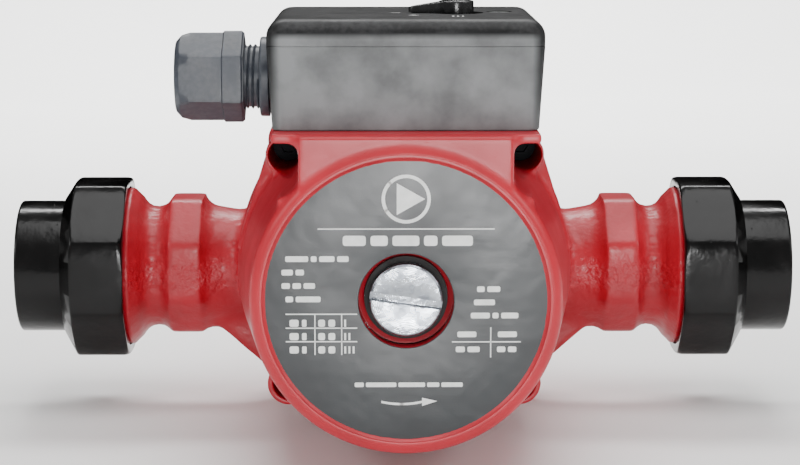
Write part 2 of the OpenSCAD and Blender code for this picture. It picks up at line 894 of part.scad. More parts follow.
// Places of the three clamps in the terminal block, on the box floor
module at_clamps() {
    for (i = [0:2])
        translate([block_at[0] + (i + 0.5) * block_pitch, block_at[1] + block_depth / 2, floor_t])
            children();
}

module terminal_block() {
    color("white") on_platform() difference() {
        translate([block_at[0], block_at[1], floor_t])
            cube([3 * block_pitch, block_depth, block_h]);
        at_clamps() {
            rod(block_screw_d, 3, block_h + cut);
            translate([0, 0, 3]) rotate([-90, 0, 0]) rod(block_wire_d, 0, block_depth);
        }
    }
}

module terminal_screws() {
    screw_low = 4.6;
    screw_top = 8;
    color("gold") on_platform() at_clamps() difference() {
        rod(block_screw_d - 2 * run_fit, screw_low, screw_top);
        translate([0, 0, screw_top]) cube([block_screw_d + cut, 0.8, 2], center = true);
    }
}

module earth_screw() {
    color("gold") on_platform() translate([earth_x, earth_y, floor_t])
        pan_screw(screw_m4, 7.4, 2.6, floor_t + 3);
}

module speed_switch() {
    color("ivory") on_platform() translate([knob_x, knob_y, floor_t]) difference() {
        translate([-switch_half, -switch_front, 0])
            cube([2 * switch_half, switch_depth, switch_h]);
        rod(rotor_stub_d + 2 * run_fit, switch_h - rotor_socket, switch_h + cut);
    }
}

module switch_rotor() {
    top = floor_t + switch_h + rotor_stub_h;
    color("orange") on_platform() translate([knob_x, knob_y, 0]) difference() {
        rod(rotor_stub_d, floor_t + switch_h - rotor_socket + run_fit, top);
        rod(knob_shaft_d + 2 * run_fit, top - rotor_stub_h, top + cut);
    }
}

module terminal_lid() {
    catch_t = 1.4;
    catch_w = 4;
    catch_h = 3;
    inner_w = box_w - box_taper - 2 * box_wall;
    inner_d = box_depth - box_taper - 2 * box_wall;
    color([0.12, 0.12, 0.12]) on_platform() difference() {
        union() {
            difference() {
                lid_outer();
                translate([0, 0, base_h - cut]) linear_extrude(lid_h - lid_wall - dish_depth + cut)
                    round_rect(inner_w, inner_d, box_corner - 1);
                translate([0, 0, base_h - cut]) linear_extrude(cut + seal_h)
                    round_rect(inner_w + 2 * seal_w, inner_d + 2 * seal_w, box_corner);
            }
            translate([lid_screw_x, lid_screw_y, 0]) rod(lid_boss_d, base_h, box_h - lid_wall);
            translate([box_w / 2 - bite, 0, base_h]) cube([bite + catch_t, catch_w, catch_h]);
        }
        translate([knob_x, knob_y, 0]) {
            rod(dish_d, box_h - dish_depth, box_h + cut);
            rod(knob_shaft_d + 2 * run_fit, base_h - cut, box_h + cut);
        }
        translate([lid_screw_x, lid_screw_y, 0]) {
            rod(lid_head_d + 2 * loose_fit, box_h - lid_head_t - lid_head_sink, box_h + cut);
            rod(lid_screw_d + 2 * run_fit, base_h - cut, box_h + cut);
        }
    }
}

module lid_screw() {
    color("silver") on_platform()
        translate([lid_screw_x, lid_screw_y, box_h - lid_head_t - lid_head_sink])
            pan_screw(lid_screw_d, lid_head_d, lid_head_t, lid_h + 6);
}

// Hub with a pointer whose top slopes down towards its tip
module speed_knob() {
    tip_r = 1.6;
    tip_drop = 1.8;
    pointer_z = box_h + 0.2;
    shaft_low = floor_t + switch_h + 0.6;
    color([0.08, 0.08, 0.08]) on_platform() translate([knob_x, knob_y, 0]) {
        rod(knob_d, knob_z, knob_z + knob_h);
        hull() {
            rod(knob_d - 1, pointer_z, knob_z + knob_h - 0.2, $fn = fine_fn);
            translate([tip_r - knob_reach, 0, 0])
                rod(2 * tip_r, pointer_z, knob_z + knob_h - tip_drop, $fn = fine_fn);
        }
        rod(knob_shaft_d, shaft_low, knob_z + bite);
    }
}

// ---- cable gland ----

module gland_body() {
    color([0.18, 0.2, 0.22]) on_gland() difference() {
        union() {
            rod(gland_thread_d, gland_wall_x - gland_tail, gland_end - gland_pitch / 2);
            cone(gland_thread_d, gland_thread_d - gland_pitch, gland_end - gland_pitch / 2, gland_end);
            rod(gland_collar_d, gland_wall_x, gland_wall_x + gland_collar_t);
        }
        rod(gland_bore_d, gland_wall_x - gland_tail - cut, gland_end + cut);
    }
}

module gland_seal() {
    color([0.1, 0.1, 0.1]) on_gland()
        tube(gland_seal_d, cable_d, gland_in - 6, gland_end);
}

module gland_clamp() {
    color("gray") on_gland()
        tube(gland_thread_d, cable_d + 1, clamp_z, clamp_z + clamp_t);
}

module gland_nut() {
    nut_r = gland_af / 2 / cos(30);
    dome = 3;
    bore_end = clamp_z + clamp_t + 2 * run_fit;
    color([0.2, 0.22, 0.25]) on_gland() difference() {
        intersection() {
            translate([0, 0, gland_in]) cylinder(r = nut_r, h = gland_nut_len, $fn = 6);
            translate([0, 0, gland_in]) rotate_extrude()
                polygon([[0, 0], [nut_r - 0.6, 0], [nut_r, 0.8],
                    [nut_r, gland_nut_len - 2 * dome], [nut_r - 0.6, gland_nut_len - dome],
                    [nut_r - dome, gland_nut_len], [0, gland_nut_len]]);
        }
        rod(gland_thread_d + 2 * run_fit, gland_in - cut, bore_end);
        rod(gland_entry_d, gland_in, gland_out + cut);
    }
}

pump_body();
wear_ring();
inlet_gasket();
inlet_tailpiece();
inlet_slip_ring();
inlet_union_nut();
outlet_gasket();
outlet_tailpiece();
outlet_slip_ring();
outlet_union_nut();
shaft();
impeller();
impeller_shroud();
thrust_ring();
rotor_core();
rotor_sleeve();
bearing_plate();
front_bearing();
rear_bearing();
rotor_can();
can_seal();
stator_housing();
stator_core();
windings();
stator_leads();
housing_screws();
nameplate();
nameplate_print();
vent_seal();
vent_plug();
terminal_base();
base_screws();
lid_seal();
capacitor();
terminal_block();
terminal_screws();
earth_screw();
speed_switch();
switch_rotor();
terminal_lid();
lid_screw();
speed_knob();
gland_body();
gland_seal();
gland_clamp();
gland_nut();
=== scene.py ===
"""Visual model of an in-line wet-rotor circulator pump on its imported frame.

Lengths in the classes are millimetres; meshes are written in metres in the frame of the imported
model: +X along the pipe in the flow direction, -Y towards the nameplate, +Z up.
"""

import json
import logging
import math
from dataclasses import dataclass, field
from enum import Enum
from typing import Callable, Sequence

import bmesh
import bpy
from mathutils import Matrix, Vector


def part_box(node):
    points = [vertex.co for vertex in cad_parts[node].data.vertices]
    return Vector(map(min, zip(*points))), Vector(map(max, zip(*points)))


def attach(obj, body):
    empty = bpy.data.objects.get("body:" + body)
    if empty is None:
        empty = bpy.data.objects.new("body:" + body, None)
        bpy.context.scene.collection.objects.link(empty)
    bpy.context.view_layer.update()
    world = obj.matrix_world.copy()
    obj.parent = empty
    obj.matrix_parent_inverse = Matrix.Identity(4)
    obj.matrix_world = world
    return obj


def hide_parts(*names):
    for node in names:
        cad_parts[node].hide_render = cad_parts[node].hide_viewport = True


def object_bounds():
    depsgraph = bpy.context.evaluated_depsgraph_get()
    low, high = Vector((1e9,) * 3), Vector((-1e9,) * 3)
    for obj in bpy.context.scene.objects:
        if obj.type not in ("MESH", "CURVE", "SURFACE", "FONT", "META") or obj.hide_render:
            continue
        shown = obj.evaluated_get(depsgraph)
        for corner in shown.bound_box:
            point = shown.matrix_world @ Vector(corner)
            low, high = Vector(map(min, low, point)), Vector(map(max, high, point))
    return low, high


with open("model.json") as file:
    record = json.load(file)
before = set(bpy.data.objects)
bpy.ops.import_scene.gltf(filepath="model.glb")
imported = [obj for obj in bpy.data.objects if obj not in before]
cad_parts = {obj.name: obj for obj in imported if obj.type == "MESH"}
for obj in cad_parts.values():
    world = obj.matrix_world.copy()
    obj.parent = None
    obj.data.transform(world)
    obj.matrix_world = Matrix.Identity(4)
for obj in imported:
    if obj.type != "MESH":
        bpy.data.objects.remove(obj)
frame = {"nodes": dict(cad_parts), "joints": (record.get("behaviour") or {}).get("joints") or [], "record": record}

MM = 0.001
TURN = 2 * math.pi
WAVE_PERIOD = TURN / 20  # length of one ring or band of a Wave Texture whose scale is 1
CAD_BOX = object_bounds()
LOG = logging.getLogger("circulator")


# ---------------------------------------------------------------------------------------------
# Places and sizes read from the frame
# ---------------------------------------------------------------------------------------------


class Side(Enum):
    """The two ends of the pump along the pipe."""

    INLET = -1
    OUTLET = 1


def box_mm(node: str) -> tuple[Vector, Vector]:
    """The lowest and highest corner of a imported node.

    Args:
        node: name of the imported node.

    Returns:
        Both corners in millimetres.
    """
    low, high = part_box(node)
    return low / MM, high / MM


def joint_axis(name: str) -> Vector:
    """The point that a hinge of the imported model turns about.

    Args:
        name: name of the joint.

    Returns:
        The point in millimetres.
    """
    for joint in frame["joints"]:
        if joint["name"] == name:
            return Vector(joint["pos_m"]) / MM
    raise ValueError(f"no joint named {name}")


BODY_LOW, BODY_HIGH = box_mm("pump_body")
CENTRE_X = (BODY_LOW.x + BODY_HIGH.x) / 2
SHAFT_Z = joint_axis("rotor_spin").z


def place(origin: Vector, right: Vector, up: Vector) -> Matrix:
    """A frame whose own z axis is right x up.

    Args:
        origin: its origin in millimetres.
        right: its x axis.
        up: its y axis.

    Returns:
        The matrix from that frame, in millimetres, to the model's frame, in metres.
    """
    out = right.cross(up)
    turn = Matrix((right, up, out)).transposed().to_4x4()
    return Matrix.Scale(MM, 4) @ Matrix.Translation(origin) @ turn


def pipe_place(side: Side) -> Matrix:
    """The frame of one pipe branch: z outwards from the pump's centre, along the pipe.

    Args:
        side: the branch.

    Returns:
        The matrix of place().
    """
    out = Vector((side.value, 0, 0))
    up = Vector((0, 0, 1))
    return place(Vector((CENTRE_X, 0, 0)), up.cross(out), up)


def shaft_place() -> Matrix:
    """The frame of the motor shaft: x right, y up, z towards the nameplate."""
    return place(Vector((CENTRE_X, 0, SHAFT_Z)), Vector((1, 0, 0)), Vector((0, 0, 1)))


def upright_place(x: float, y: float, z: float) -> Matrix:
    """A frame at a point with x right, y back and z up."""
    return place(Vector((x, y, z)), Vector((1, 0, 0)), Vector((0, 1, 0)))


def gland_place() -> Matrix:
    """The frame of the cable gland: z outwards to the left, from the plane of the pump's centre.

    Returns:
        The matrix of place().
    """
    axis = joint_axis("gland_turn")
    up = Vector((0, 0, 1))
    return place(Vector((CENTRE_X, axis.y, axis.z)), up.cross(Vector((-1, 0, 0))), up)


# ---------------------------------------------------------------------------------------------
# Mesh tools
# ---------------------------------------------------------------------------------------------


def make_object(name: str, verts: Sequence, faces: Sequence,
                crease_deg: float = 35) -> bpy.types.Object:
    """A mesh object at the origin, smooth except over sharp edges.

    Args:
        name: name of the object and its mesh.
        verts: vertex places in metres.
        faces: vertex numbers of each face.
        crease_deg: faces that meet at more than this angle keep a sharp edge.

    Returns:
        The object, linked to the scene.
    """
    mesh = bpy.data.meshes.new(name)
    mesh.from_pydata([tuple(v) for v in verts], [], [tuple(f) for f in faces])
    return finish_mesh(link_object(name, mesh), crease_deg)


def link_object(name: str, mesh: bpy.types.Mesh) -> bpy.types.Object:
    """Links a new object to the scene.

    Args:
        name: name of the object.
        mesh: its mesh.

    Returns:
        The object.
    """
    obj = bpy.data.objects.new(name, mesh)
    bpy.context.scene.collection.objects.link(obj)
    return obj


def finish_mesh(obj: bpy.types.Object, crease_deg: float) -> bpy.types.Object:
    """Turns the faces outwards, then shades them smooth up to an angle.

    Args:
        obj: a mesh object.
        crease_deg: faces that meet at more than this angle keep a sharp edge.

    Returns:
        The same object.
    """
    work = bmesh.new()
    work.from_mesh(obj.data)
    bmesh.ops.remove_doubles(work, verts=work.verts, dist=1e-6)
    bmesh.ops.recalc_face_normals(work, faces=work.faces)
    work.to_mesh(obj.data)
    work.free()
    obj.data.shade_smooth()
    obj.data.set_sharp_from_angle(angle=math.radians(crease_deg))
    return obj


def bake(obj: bpy.types.Object, crease_deg: float | None = None) -> bpy.types.Object:
    """Replaces an object's mesh by what its modifiers make of it, and removes them.

    Args:
        obj: the object.
        crease_deg: if given, the result is shaded smooth up to this angle.

    Returns:
        The same object.
    """
    bpy.context.view_layer.update()
    evaluated = obj.evaluated_get(bpy.context.evaluated_depsgraph_get())
    mesh = bpy.data.meshes.new_from_object(evaluated)
    obj.modifiers.clear()
    obj.data = mesh
    if crease_deg is not None:
        obj.data.shade_smooth()
        obj.data.set_sharp_from_angle(angle=math.radians(crease_deg))
    return obj


def rounded(corners: Sequence[tuple[float, float, float]],
            steps: int = 5) -> list[tuple[float, float]]:
    """A closed outline with each corner turned into an arc.

    Args:
        corners: (x, y, corner radius) of each corner, in order.
        steps: how many pieces an arc has.

    Returns:
        The points of the outline.
    """
    outline = []
    for i, (x, y, radius) in enumerate(corners):
        here = Vector((x, y))
        before = Vector(corners[i - 1][:2]) - here
        after = Vector(corners[(i + 1) % len(corners)][:2]) - here
        if radius <= 0:
            outline.append((x, y))
            continue
        bend = before.angle(after)
        reach = min(radius / math.tan(bend / 2), 0.49 * before.length, 0.49 * after.length)
        start = here + before.normalized() * reach
        end = here + after.normalized() * reach
        for k in range(steps + 1):
            t = k / steps
            outline.append(tuple((1 - t) ** 2 * start + 2 * t * (1 - t) * here + t * t * end))
    return outline


def turned(
    name: str,
    outline: Sequence[tuple[float, float]],
    where: Matrix,
    steps: int = 128,
    limit: Callable[[float, float], float] | None = None,
) -> bpy.types.Object:
    """A turned solid from a closed outline of (radius, height) points.

    Args:
        name: name of the piece.
        outline: closed outline; points on the axis become poles.
        where: frame of the piece, with z along its axis.
        steps: faces round the axis.
        limit: gives the radius to use from (radius, angle), for flats on the outside.

    Returns:
        The piece.
    """
    verts, faces, rings = [], [], []
    for radius, z in outline:
        if radius < 1e-6:
            rings.append([len(verts)] * steps)
            verts.append(where @ Vector((0, 0, z)))
            continue
        rings.append(list(range(len(verts), len(verts) + steps)))
        for k in range(steps):
            angle = TURN * k / steps
            reach = limit(radius, angle) if limit else radius
            verts.append(where @ Vector((reach * math.cos(angle), reach * math.sin(angle), z)))
    for i, ring in enumerate(rings):
        other = rings[(i + 1) % len(rings)]
        for k in range(steps):
            n = (k + 1) % steps
            corners = dict.fromkeys([ring[k], ring[n], other[n], other[k]])
            if len(corners) > 2:
                faces.append(list(corners))
    return make_object(name, verts, faces)


def flats(across: float, count: int, soft: float,
          phase_deg: float = 0) -> Callable[[float, float], float]:
    """A limit for turned() that cuts flats with soft corners.

    Args:
        across: width across flats.
        count: number of flats.
        soft: how softly the flats run into the round.
        phase_deg: angle of the middle of one flat.

    Returns:
        The function.
    """
    share = TURN / count

    def limit(radius: float, angle: float) -> float:
        """The smaller of the two radii, blended over a soft band.

        Args:
            radius: radius of the round.
            angle: angle round the axis.

        Returns:
            The radius there.
        """
        off = (angle - math.radians(phase_deg) + share / 2) % share - share / 2
        wall = across / 2 / math.cos(off)
        return -soft * math.log(math.exp(-(radius - wall) / soft) + 1) + wall

    def safe(radius: float, angle: float) -> float:
        """limit(), without overflow for radii far inside the flats."""
        return radius if radius < across / 2 - 12 * soft else limit(radius, angle)

    return safe


def rounded_loop(half_w: float, half_d: float, corner: float,
                 steps: int = 10) -> list[tuple[float, float]]:
    """The points of a rectangle with round corners, anticlockwise from the right side.

    Args:
        half_w: half its width.
        half_d: half its depth.
        corner: radius of its corners.
        steps: points along each corner, less one.

    Returns:
        The points.
    """
    loop = []
    for quarter, (sx, sy) in enumerate([(1, 1), (-1, 1), (-1, -1), (1, -1)]):
        for k in range(steps + 1):
            angle = math.pi / 2 * (quarter + k / steps)
            loop.append((
                sx * (half_w - corner) + corner * math.cos(angle),
                sy * (half_d - corner) + corner * math.sin(angle),
            ))
    return loop


def lofted(
    name: str,
    loops: Sequence[Sequence[tuple[float, float, float]]],
    where: Matrix,
    crease_deg: float = 35,
) -> bpy.types.Object:
    """A solid from a stack of loops with the same number of points, capped at both ends.

    Args:
        name: name of the piece.
        loops: (x, y, z) points of each loop.
        where: frame of the piece.
        crease_deg: faces that meet at more than this angle keep a sharp edge.

    Returns:
        The piece.
    """
    count = len(loops[0])
    verts = [where @ Vector(p) for loop in loops for p in loop]
    faces = [list(range(count)), list(range((len(loops) - 1) * count, len(loops) * count))]
    for i in range(len(loops) - 1):
        for k in range(count):
            n = (k + 1) % count
            faces.append([i * count + k, i * count + n, (i + 1) * count + n, (i + 1) * count + k])
    return make_object(name, verts, faces, crease_deg)


def cut_away(obj: bpy.types.Object, tools: Sequence[bpy.types.Object],
             crease_deg: float = 35) -> bpy.types.Object:
    """Cuts solids out of an object and removes them.

    Args:
        obj: the object to cut.
        tools: the cutting solids.
        crease_deg: faces that meet at more than this angle keep a sharp edge.

    Returns:
        The same object.
    """
    for tool in tools:
        cut = obj.modifiers.new("cut", "BOOLEAN")
        cut.operation = "DIFFERENCE"
        cut.solver = "EXACT"
        cut.object = tool
    bake(obj, crease_deg)
    for tool in tools:
        bpy.data.objects.remove(tool)
    return obj


def casting(
    name: str,
    node: str,
    voxel: float,
    fillet: float,
    soften: int,
    keep: float,
    tools: Sequence[bpy.types.Object] = (),
) -> bpy.types.Object:
    """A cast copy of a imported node: its inner corners filled and its edges worn soft.

    The wall is grown and shrunk by the fillet radius, which leaves a fillet in every inner
    corner as a mould does, and the smoothing takes the sharpness off the outer edges.

    Args:
        name: name of the piece.
        node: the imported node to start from.
        voxel: size of the remeshing grid.
        fillet: radius left in inner corners.
        soften: rounds of smoothing.
        keep: share of the triangles to keep.
        tools: solids cut out of the copy first.

    Returns:
        The piece.
    """
    obj = link_object(name, frame["nodes"][node].data.copy())
    weld = obj.modifiers.new("weld", "WELD")
    weld.merge_threshold = 1e-6
    bake(obj)
    if tools:
        cut_away(obj, tools)
    for step in (fillet, -fillet):
        remesh = obj.modifiers.new("grid", "REMESH")
        remesh.mode = "VOXEL"
        remesh.voxel_size = voxel * MM
        grow = obj.modifiers.new("grow", "DISPLACE")
        grow.strength = step * MM
        grow.mid_level = 0
    smooth = obj.modifiers.new("soften", "SMOOTH")
    smooth.factor = 0.5
    smooth.iterations = soften
    thin = obj.modifiers.new("thin", "DECIMATE")
    thin.ratio = keep
    return bake(obj, 60)


# ---------------------------------------------------------------------------------------------
# Node trees
# ---------------------------------------------------------------------------------------------


def add_node(
    tree: bpy.types.NodeTree,
    kind: str,
    settings: dict[str, object] | None = None,
    inputs: dict[str | int, object] | None = None,
) -> bpy.types.Node:
    """Adds a node with its settings, values and links.

    Args:
        tree: the tree it goes in.
        kind: the node's type.
        settings: properties of the node.
        inputs: values or output sockets for its inputs, by name or number.

    Returns:
        The node.
    """
    node = tree.nodes.new(kind)
    for key, value in (settings or {}).items():
        setattr(node, key, value)
    for key, value in (inputs or {}).items():
        if isinstance(value, bpy.types.NodeSocket):
            tree.links.new(value, node.inputs[key])
        else:
            node.inputs[key].default_value = value
    return node


def linear(hex_colour: str) -> tuple[float, float, float, float]:
    """Turns an sRGB hex colour such as "B3202B" into the linear colour of a socket.

    Args:
        hex_colour: six hex digits.

    Returns:
        Red, green, blue and an opaque alpha.
    """
    parts = [int(hex_colour[i : i + 2], 16) / 255 for i in (0, 2, 4)]
    red, green, blue = [p / 12.92 if p <= 0.04045 else ((p + 0.055) / 1.055) ** 2.4 for p in parts]
    return red, green, blue, 1.0


@dataclass(frozen=True)
class Finish:
    """What every finish shares: two tones, a roughness range and a grain.

    Attributes:
        name: common name of the material and how its surface was made.
        tone: main colour.
        shade: second colour of the slow variation.
        metallic: 0 for paint and plastic, 1 for bare metal.
        smooth: roughness where the surface is best kept.
        rough: roughness where it is worn or dusty.
        patch_mm: size of the slow variation.
        grain_mm: size of the fine grain.
        relief_mm: height of the fine grain.
        gloss: strength of the mirror-like part of a surface that isn't metal.
    """

    name: str
    tone: str
    shade: str
    metallic: float = 0.0
    smooth: float = 0.3
    rough: float = 0.5
    patch_mm: float = 14.0
    grain_mm: float = 0.6
    relief_mm: float = 0.02
    gloss: float = 0.5

    def build(self) -> bpy.types.Material:
        """Makes the material: two tones in slow patches, a roughness range and a fine grain.

        Returns:
            The material.
        """
        material = bpy.data.materials.new(self.name)
        material.use_nodes = True
        tree = material.node_tree
        tree.nodes.clear()
        where = add_node(tree, "ShaderNodeTexCoord").outputs["Object"]
        patches = self.noise(tree, where, self.patch_mm, 4.0).outputs["Fac"]
        colour = add_node(
            tree,
            "ShaderNodeMix",
            {"data_type": "RGBA"},
            {0: self.spread(tree, patches, 0.35, 0.65), 6: linear(self.tone), 7: linear(self.shade)},
        ).outputs[2]
        roughness = self.spread(tree, patches, 0.3, 0.7, self.smooth, self.rough)
        grain = self.noise(tree, where, self.grain_mm, 3.0).outputs["Fac"]
        bump = add_node(
            tree,
            "ShaderNodeBump",
            {},
            {"Strength": 1.0, "Distance": self.relief_mm * MM, "Height": grain},
        )
        shader = add_node(
            tree,
            "ShaderNodeBsdfPrincipled",
            {},
            {"Base Color": colour, "Metallic": self.metallic, "Roughness": roughness,
             "Specular IOR Level": self.gloss, "Normal": bump.outputs["Normal"]},
        )
        add_node(tree, "ShaderNodeOutputMaterial", {}, {"Surface": shader.outputs[0]})
        self.dress(tree, shader, bump, where)
        return material

    def noise(self, tree: bpy.types.NodeTree, where: bpy.types.NodeSocket, size_mm: float,
              detail: float) -> bpy.types.Node:
        """Adds a noise whose features are about size_mm across.

        Args:
            tree: the material's tree.
            where: the coordinates.
            size_mm: feature size.
            detail: octaves of finer noise.

        Returns:
            The node.
        """
        return add_node(tree, "ShaderNodeTexNoise", {},
                        {"Vector": where, "Scale": 1 / (size_mm * MM), "Detail": detail})

    def spread(self, tree: bpy.types.NodeTree, value: bpy.types.NodeSocket, low: float,
               high: float, start: float = 0.0, end: float = 1.0) -> bpy.types.NodeSocket:
        """Maps a value from low..high to start..end, clamped.

        Args:
            tree: the material's tree.
            value: the socket to map.
            low: value that gives start.
            high: value that gives end.
            start: result at low.
            end: result at high.

        Returns:
            The mapped socket.
        """
        return add_node(tree, "ShaderNodeMapRange", {},
                        {"Value": value, "From Min": low, "From Max": high, "To Min": start,
                         "To Max": end}).outputs[0]

    def dress(self, tree: bpy.types.NodeTree, shader: bpy.types.Node, bump: bpy.types.Node,
              where: bpy.types.NodeSocket) -> None:
        """Adds what only one kind of finish has. The plain finish adds nothing."""


@dataclass(frozen=True)
class CastEnamel(Finish):
    """Gloss enamel sprayed over a casting: the paint follows the mould's sand grain.

    Attributes:
        lump_mm: size of the casting's lumps under the paint.
        lump_relief_mm: height of those lumps.
        pit_mm: spacing of pinholes and nibs in the paint.
        coat: strength of the clear gloss on top.
        rough_band: half height of the scabby mould line along the pipe, 0 for none.
    """

    lump_mm: float = 2.4
    lump_relief_mm: float = 0.12
    pit_mm: float = 1.2
    coat: float = 0.12
    rough_band: float = 0.0

    def dress(self, tree: bpy.types.NodeTree, shader: bpy.types.Node, bump: bpy.types.Node,
              where: bpy.types.NodeSocket) -> None:
        """Adds lumps, pinholes, the scabby band and the gloss of the paint.

        Args:
            tree: the material's tree.
            shader: its Principled node.
            bump: the bump of the fine grain.
            where: the coordinates.
        """
        lumps = self.noise(tree, where, self.lump_mm, 2.0).outputs["Fac"]
        height: bpy.types.NodeSocket = lumps
        if self.rough_band:
            parts = add_node(tree, "ShaderNodeSeparateXYZ", {}, {0: where})
            off = add_node(tree, "ShaderNodeMath", {"operation": "ABSOLUTE"}, {0: parts.outputs["Z"]})
            band = self.spread(tree, off.outputs[0], self.rough_band * MM, 0.4 * self.rough_band * MM)
            front = self.spread(tree, parts.outputs["Y"], -0.006, -0.012)
            mask = add_node(tree, "ShaderNodeMath", {"operation": "MULTIPLY"}, {0: band, 1: front})
            scab = self.noise(tree, where, 2.6, 5.0).outputs["Fac"]
            sharp = self.spread(tree, scab, 0.3, 0.75, 0.0, 1.6)
            extra = add_node(tree, "ShaderNodeMath", {"operation": "MULTIPLY_ADD"},
                             {0: mask.outputs[0], 1: sharp, 2: lumps})
            height = extra.outputs[0]
        coarse = add_node(tree, "ShaderNodeBump", {},
                          {"Strength": 1.0, "Distance": self.lump_relief_mm * MM,
                           "Height": height, "Normal": bump.outputs["Normal"]})
        cells = add_node(tree, "ShaderNodeTexVoronoi", {},
                         {"Vector": where, "Scale": 1 / (self.pit_mm * 4 * MM)})
        pits = self.spread(tree, cells.outputs["Distance"], 0.02, 0.07)
        pitted = add_node(tree, "ShaderNodeBump", {},
                          {"Strength": 0.6, "Distance": 0.08 * MM, "Height": pits,
                           "Normal": coarse.outputs["Normal"]})
        tree.links.new(pitted.outputs["Normal"], shader.inputs["Normal"])
        shader.inputs["Coat Weight"].default_value = self.coat
        shader.inputs["Coat Roughness"].default_value = 0.18


@dataclass(frozen=True)
class MouldedPlastic(Finish):
    """Moulded plastic: a spark-eroded grain from the tool, with handling dust, faint scuffs and, where set,
    painted glare on the faces between the rounded edges.

    Attributes:
        dust_and_glare_tone: colour of the dust film and of the painted glare.
        dust_share: how much of it shows where it is thickest.
        scuff_mm: length of the scuffs.
        painted_glare: how much painted glare, a lighter grey in cloudy patches standing in for the lamp's glare,
            covers the faces between the rounded edges.
        painted_glare_top: height in the model's frame where the painted glare ends, in millimetres.
        painted_glare_side: how far from the pump's centre it ends, in millimetres.
    """

    dust_and_glare_tone: str = "8D8F90"
    dust_share: float = 0.2
    scuff_mm: float = 30.0
    painted_glare: float = 0.0
    painted_glare_top: float = 0.0
    painted_glare_side: float = 0.0

    def dress(self, tree: bpy.types.NodeTree, shader: bpy.types.Node, bump: bpy.types.Node,
              where: bpy.types.NodeSocket) -> None:
        """Adds the dust film, the painted glare where it is set, and the scuffs.

        Args:
            tree: the material's tree.
            shader: its Principled node.
            bump: the bump of the fine grain.
            where: the coordinates.
        """
        film = self.noise(tree, where, 9.0, 6.0).outputs["Fac"]
        speck = self.noise(tree, where, 1.5, 4.0).outputs["Fac"]
        both = add_node(tree, "ShaderNodeMath", {"operation": "MULTIPLY"}, {0: film, 1: speck})
        share = self.spread(tree, both.outputs[0], 0.18, 0.36, 0.0, self.dust_share)
        # painted glare: the upright faces are mixed towards a pale grey that stands in for the lamp's glare on
        # them
        if self.painted_glare:
            share = self.film(tree, where, share)
        clean = shader.inputs["Base Color"].links[0].from_socket
        # the dust specks and the painted glare both mix the base colour towards the same pale grey
        dust_and_glare_mix = add_node(tree, "ShaderNodeMix", {"data_type": "RGBA"},
                         {0: share, 6: clean, 7: linear(self.dust_and_glare_tone)})
        tree.links.new(dust_and_glare_mix.outputs[2], shader.inputs["Base Color"])
        stretch = add_node(tree, "ShaderNodeMapping", {},
                           {"Vector": where, "Scale": (1 / self.scuff_mm, 1 / self.scuff_mm, 1.0)})
        lines = self.noise(tree, stretch.outputs[0], 0.35, 2.0).outputs["Fac"]
        scuffs = self.spread(tree, lines, 0.68, 0.74, 0.0, 0.4)
        scratched = add_node(tree, "ShaderNodeBump", {},
                             {"Strength": 0.3, "Distance": 0.02 * MM, "Height": scuffs,
                              "Normal": bump.outputs["Normal"]})
        tree.links.new(scratched.outputs["Normal"], shader.inputs["Normal"])

    def film(self, tree: bpy.types.NodeTree, where: bpy.types.NodeSocket,
             share: bpy.types.NodeSocket) -> bpy.types.NodeSocket:
        """Adds the chalky film, which fades out towards the rounded edges.

        Args:
            tree: the material's tree.
            where: the coordinates.
            share: the share of dust so far.

        Returns:
            The share of dust and painted glare together.
        """
        # painted glare: only below the lid's rounded top edge and inside the rounded side edges, in cloudy patches
        parts = add_node(tree, "ShaderNodeSeparateXYZ", {}, {0: where})
        low = self.spread(tree, parts.outputs["Z"], self.painted_glare_top * MM, (self.painted_glare_top - 1.8) * MM)
        off = add_node(tree, "ShaderNodeMath", {"operation": "SUBTRACT"},
                       {0: parts.outputs["X"], 1: CENTRE_X * MM})
        aside = add_node(tree, "ShaderNodeMath", {"operation": "ABSOLUTE"}, {0: off.outputs[0]})
        middle = self.spread(tree, aside.outputs[0], self.painted_glare_side * MM, (self.painted_glare_side - 2.5) * MM)
        mask = add_node(tree, "ShaderNodeMath", {"operation": "MULTIPLY"}, {0: low, 1: middle})
        clouds = self.noise(tree, where, 13.0, 9.0).outputs["Fac"]
        cover = self.spread(tree, clouds, 0.36, 0.62, 0.5 * self.painted_glare, self.painted_glare)
        glare_share = add_node(tree, "ShaderNodeMath", {"operation": "MULTIPLY"},
                         {0: mask.outputs[0], 1: cover})
        return add_node(tree, "ShaderNodeMath", {"operation": "MAXIMUM"},
                        {0: share, 1: glare_share.outputs[0]}).outputs[0]


@dataclass(frozen=True)
class TurnedMetal(Finish):
    """Bare or plated metal with the fine rings that a lathe tool leaves round an axis.

    Attributes:
        metallic: 1, bare metal.
        ring_mm: spacing of the rings.
        ring_relief_mm: depth of the rings.
        axis: the axis they run round, X, Y or Z.
        centre: a point on that axis, in millimetres.
    """

    metallic: float = 1.0
    ring_mm: float = 0.45
    ring_relief_mm: float = 0.012
    axis: str = "Y"
    centre: tuple[float, float, float] = (0.0, 0.0, 0.0)

    def dress(self, tree: bpy.types.NodeTree, shader: bpy.types.Node, bump: bpy.types.Node,
              where: bpy.types.NodeSocket) -> None:
        """Adds the tool rings.

        Args:
            tree: the material's tree.
            shader: its Principled node.
            bump: the bump of the fine grain.
            where: the coordinates.
        """
        moved = add_node(tree, "ShaderNodeMapping", {},
                         {"Vector": where, "Location": tuple(-c * MM for c in self.centre)})
        rings = add_node(tree, "ShaderNodeTexWave",
                         {"wave_type": "RINGS", "rings_direction": self.axis},
                         {"Vector": moved.outputs[0], "Scale": WAVE_PERIOD / (self.ring_mm * MM),
                          "Distortion": 0.6, "Detail": 2.0})
        tooled = add_node(tree, "ShaderNodeBump", {},
                          {"Strength": 1.0, "Distance": self.ring_relief_mm * MM,
                           "Height": rings.outputs["Fac"], "Normal": bump.outputs["Normal"]})
        tree.links.new(tooled.outputs["Normal"], shader.inputs["Normal"])


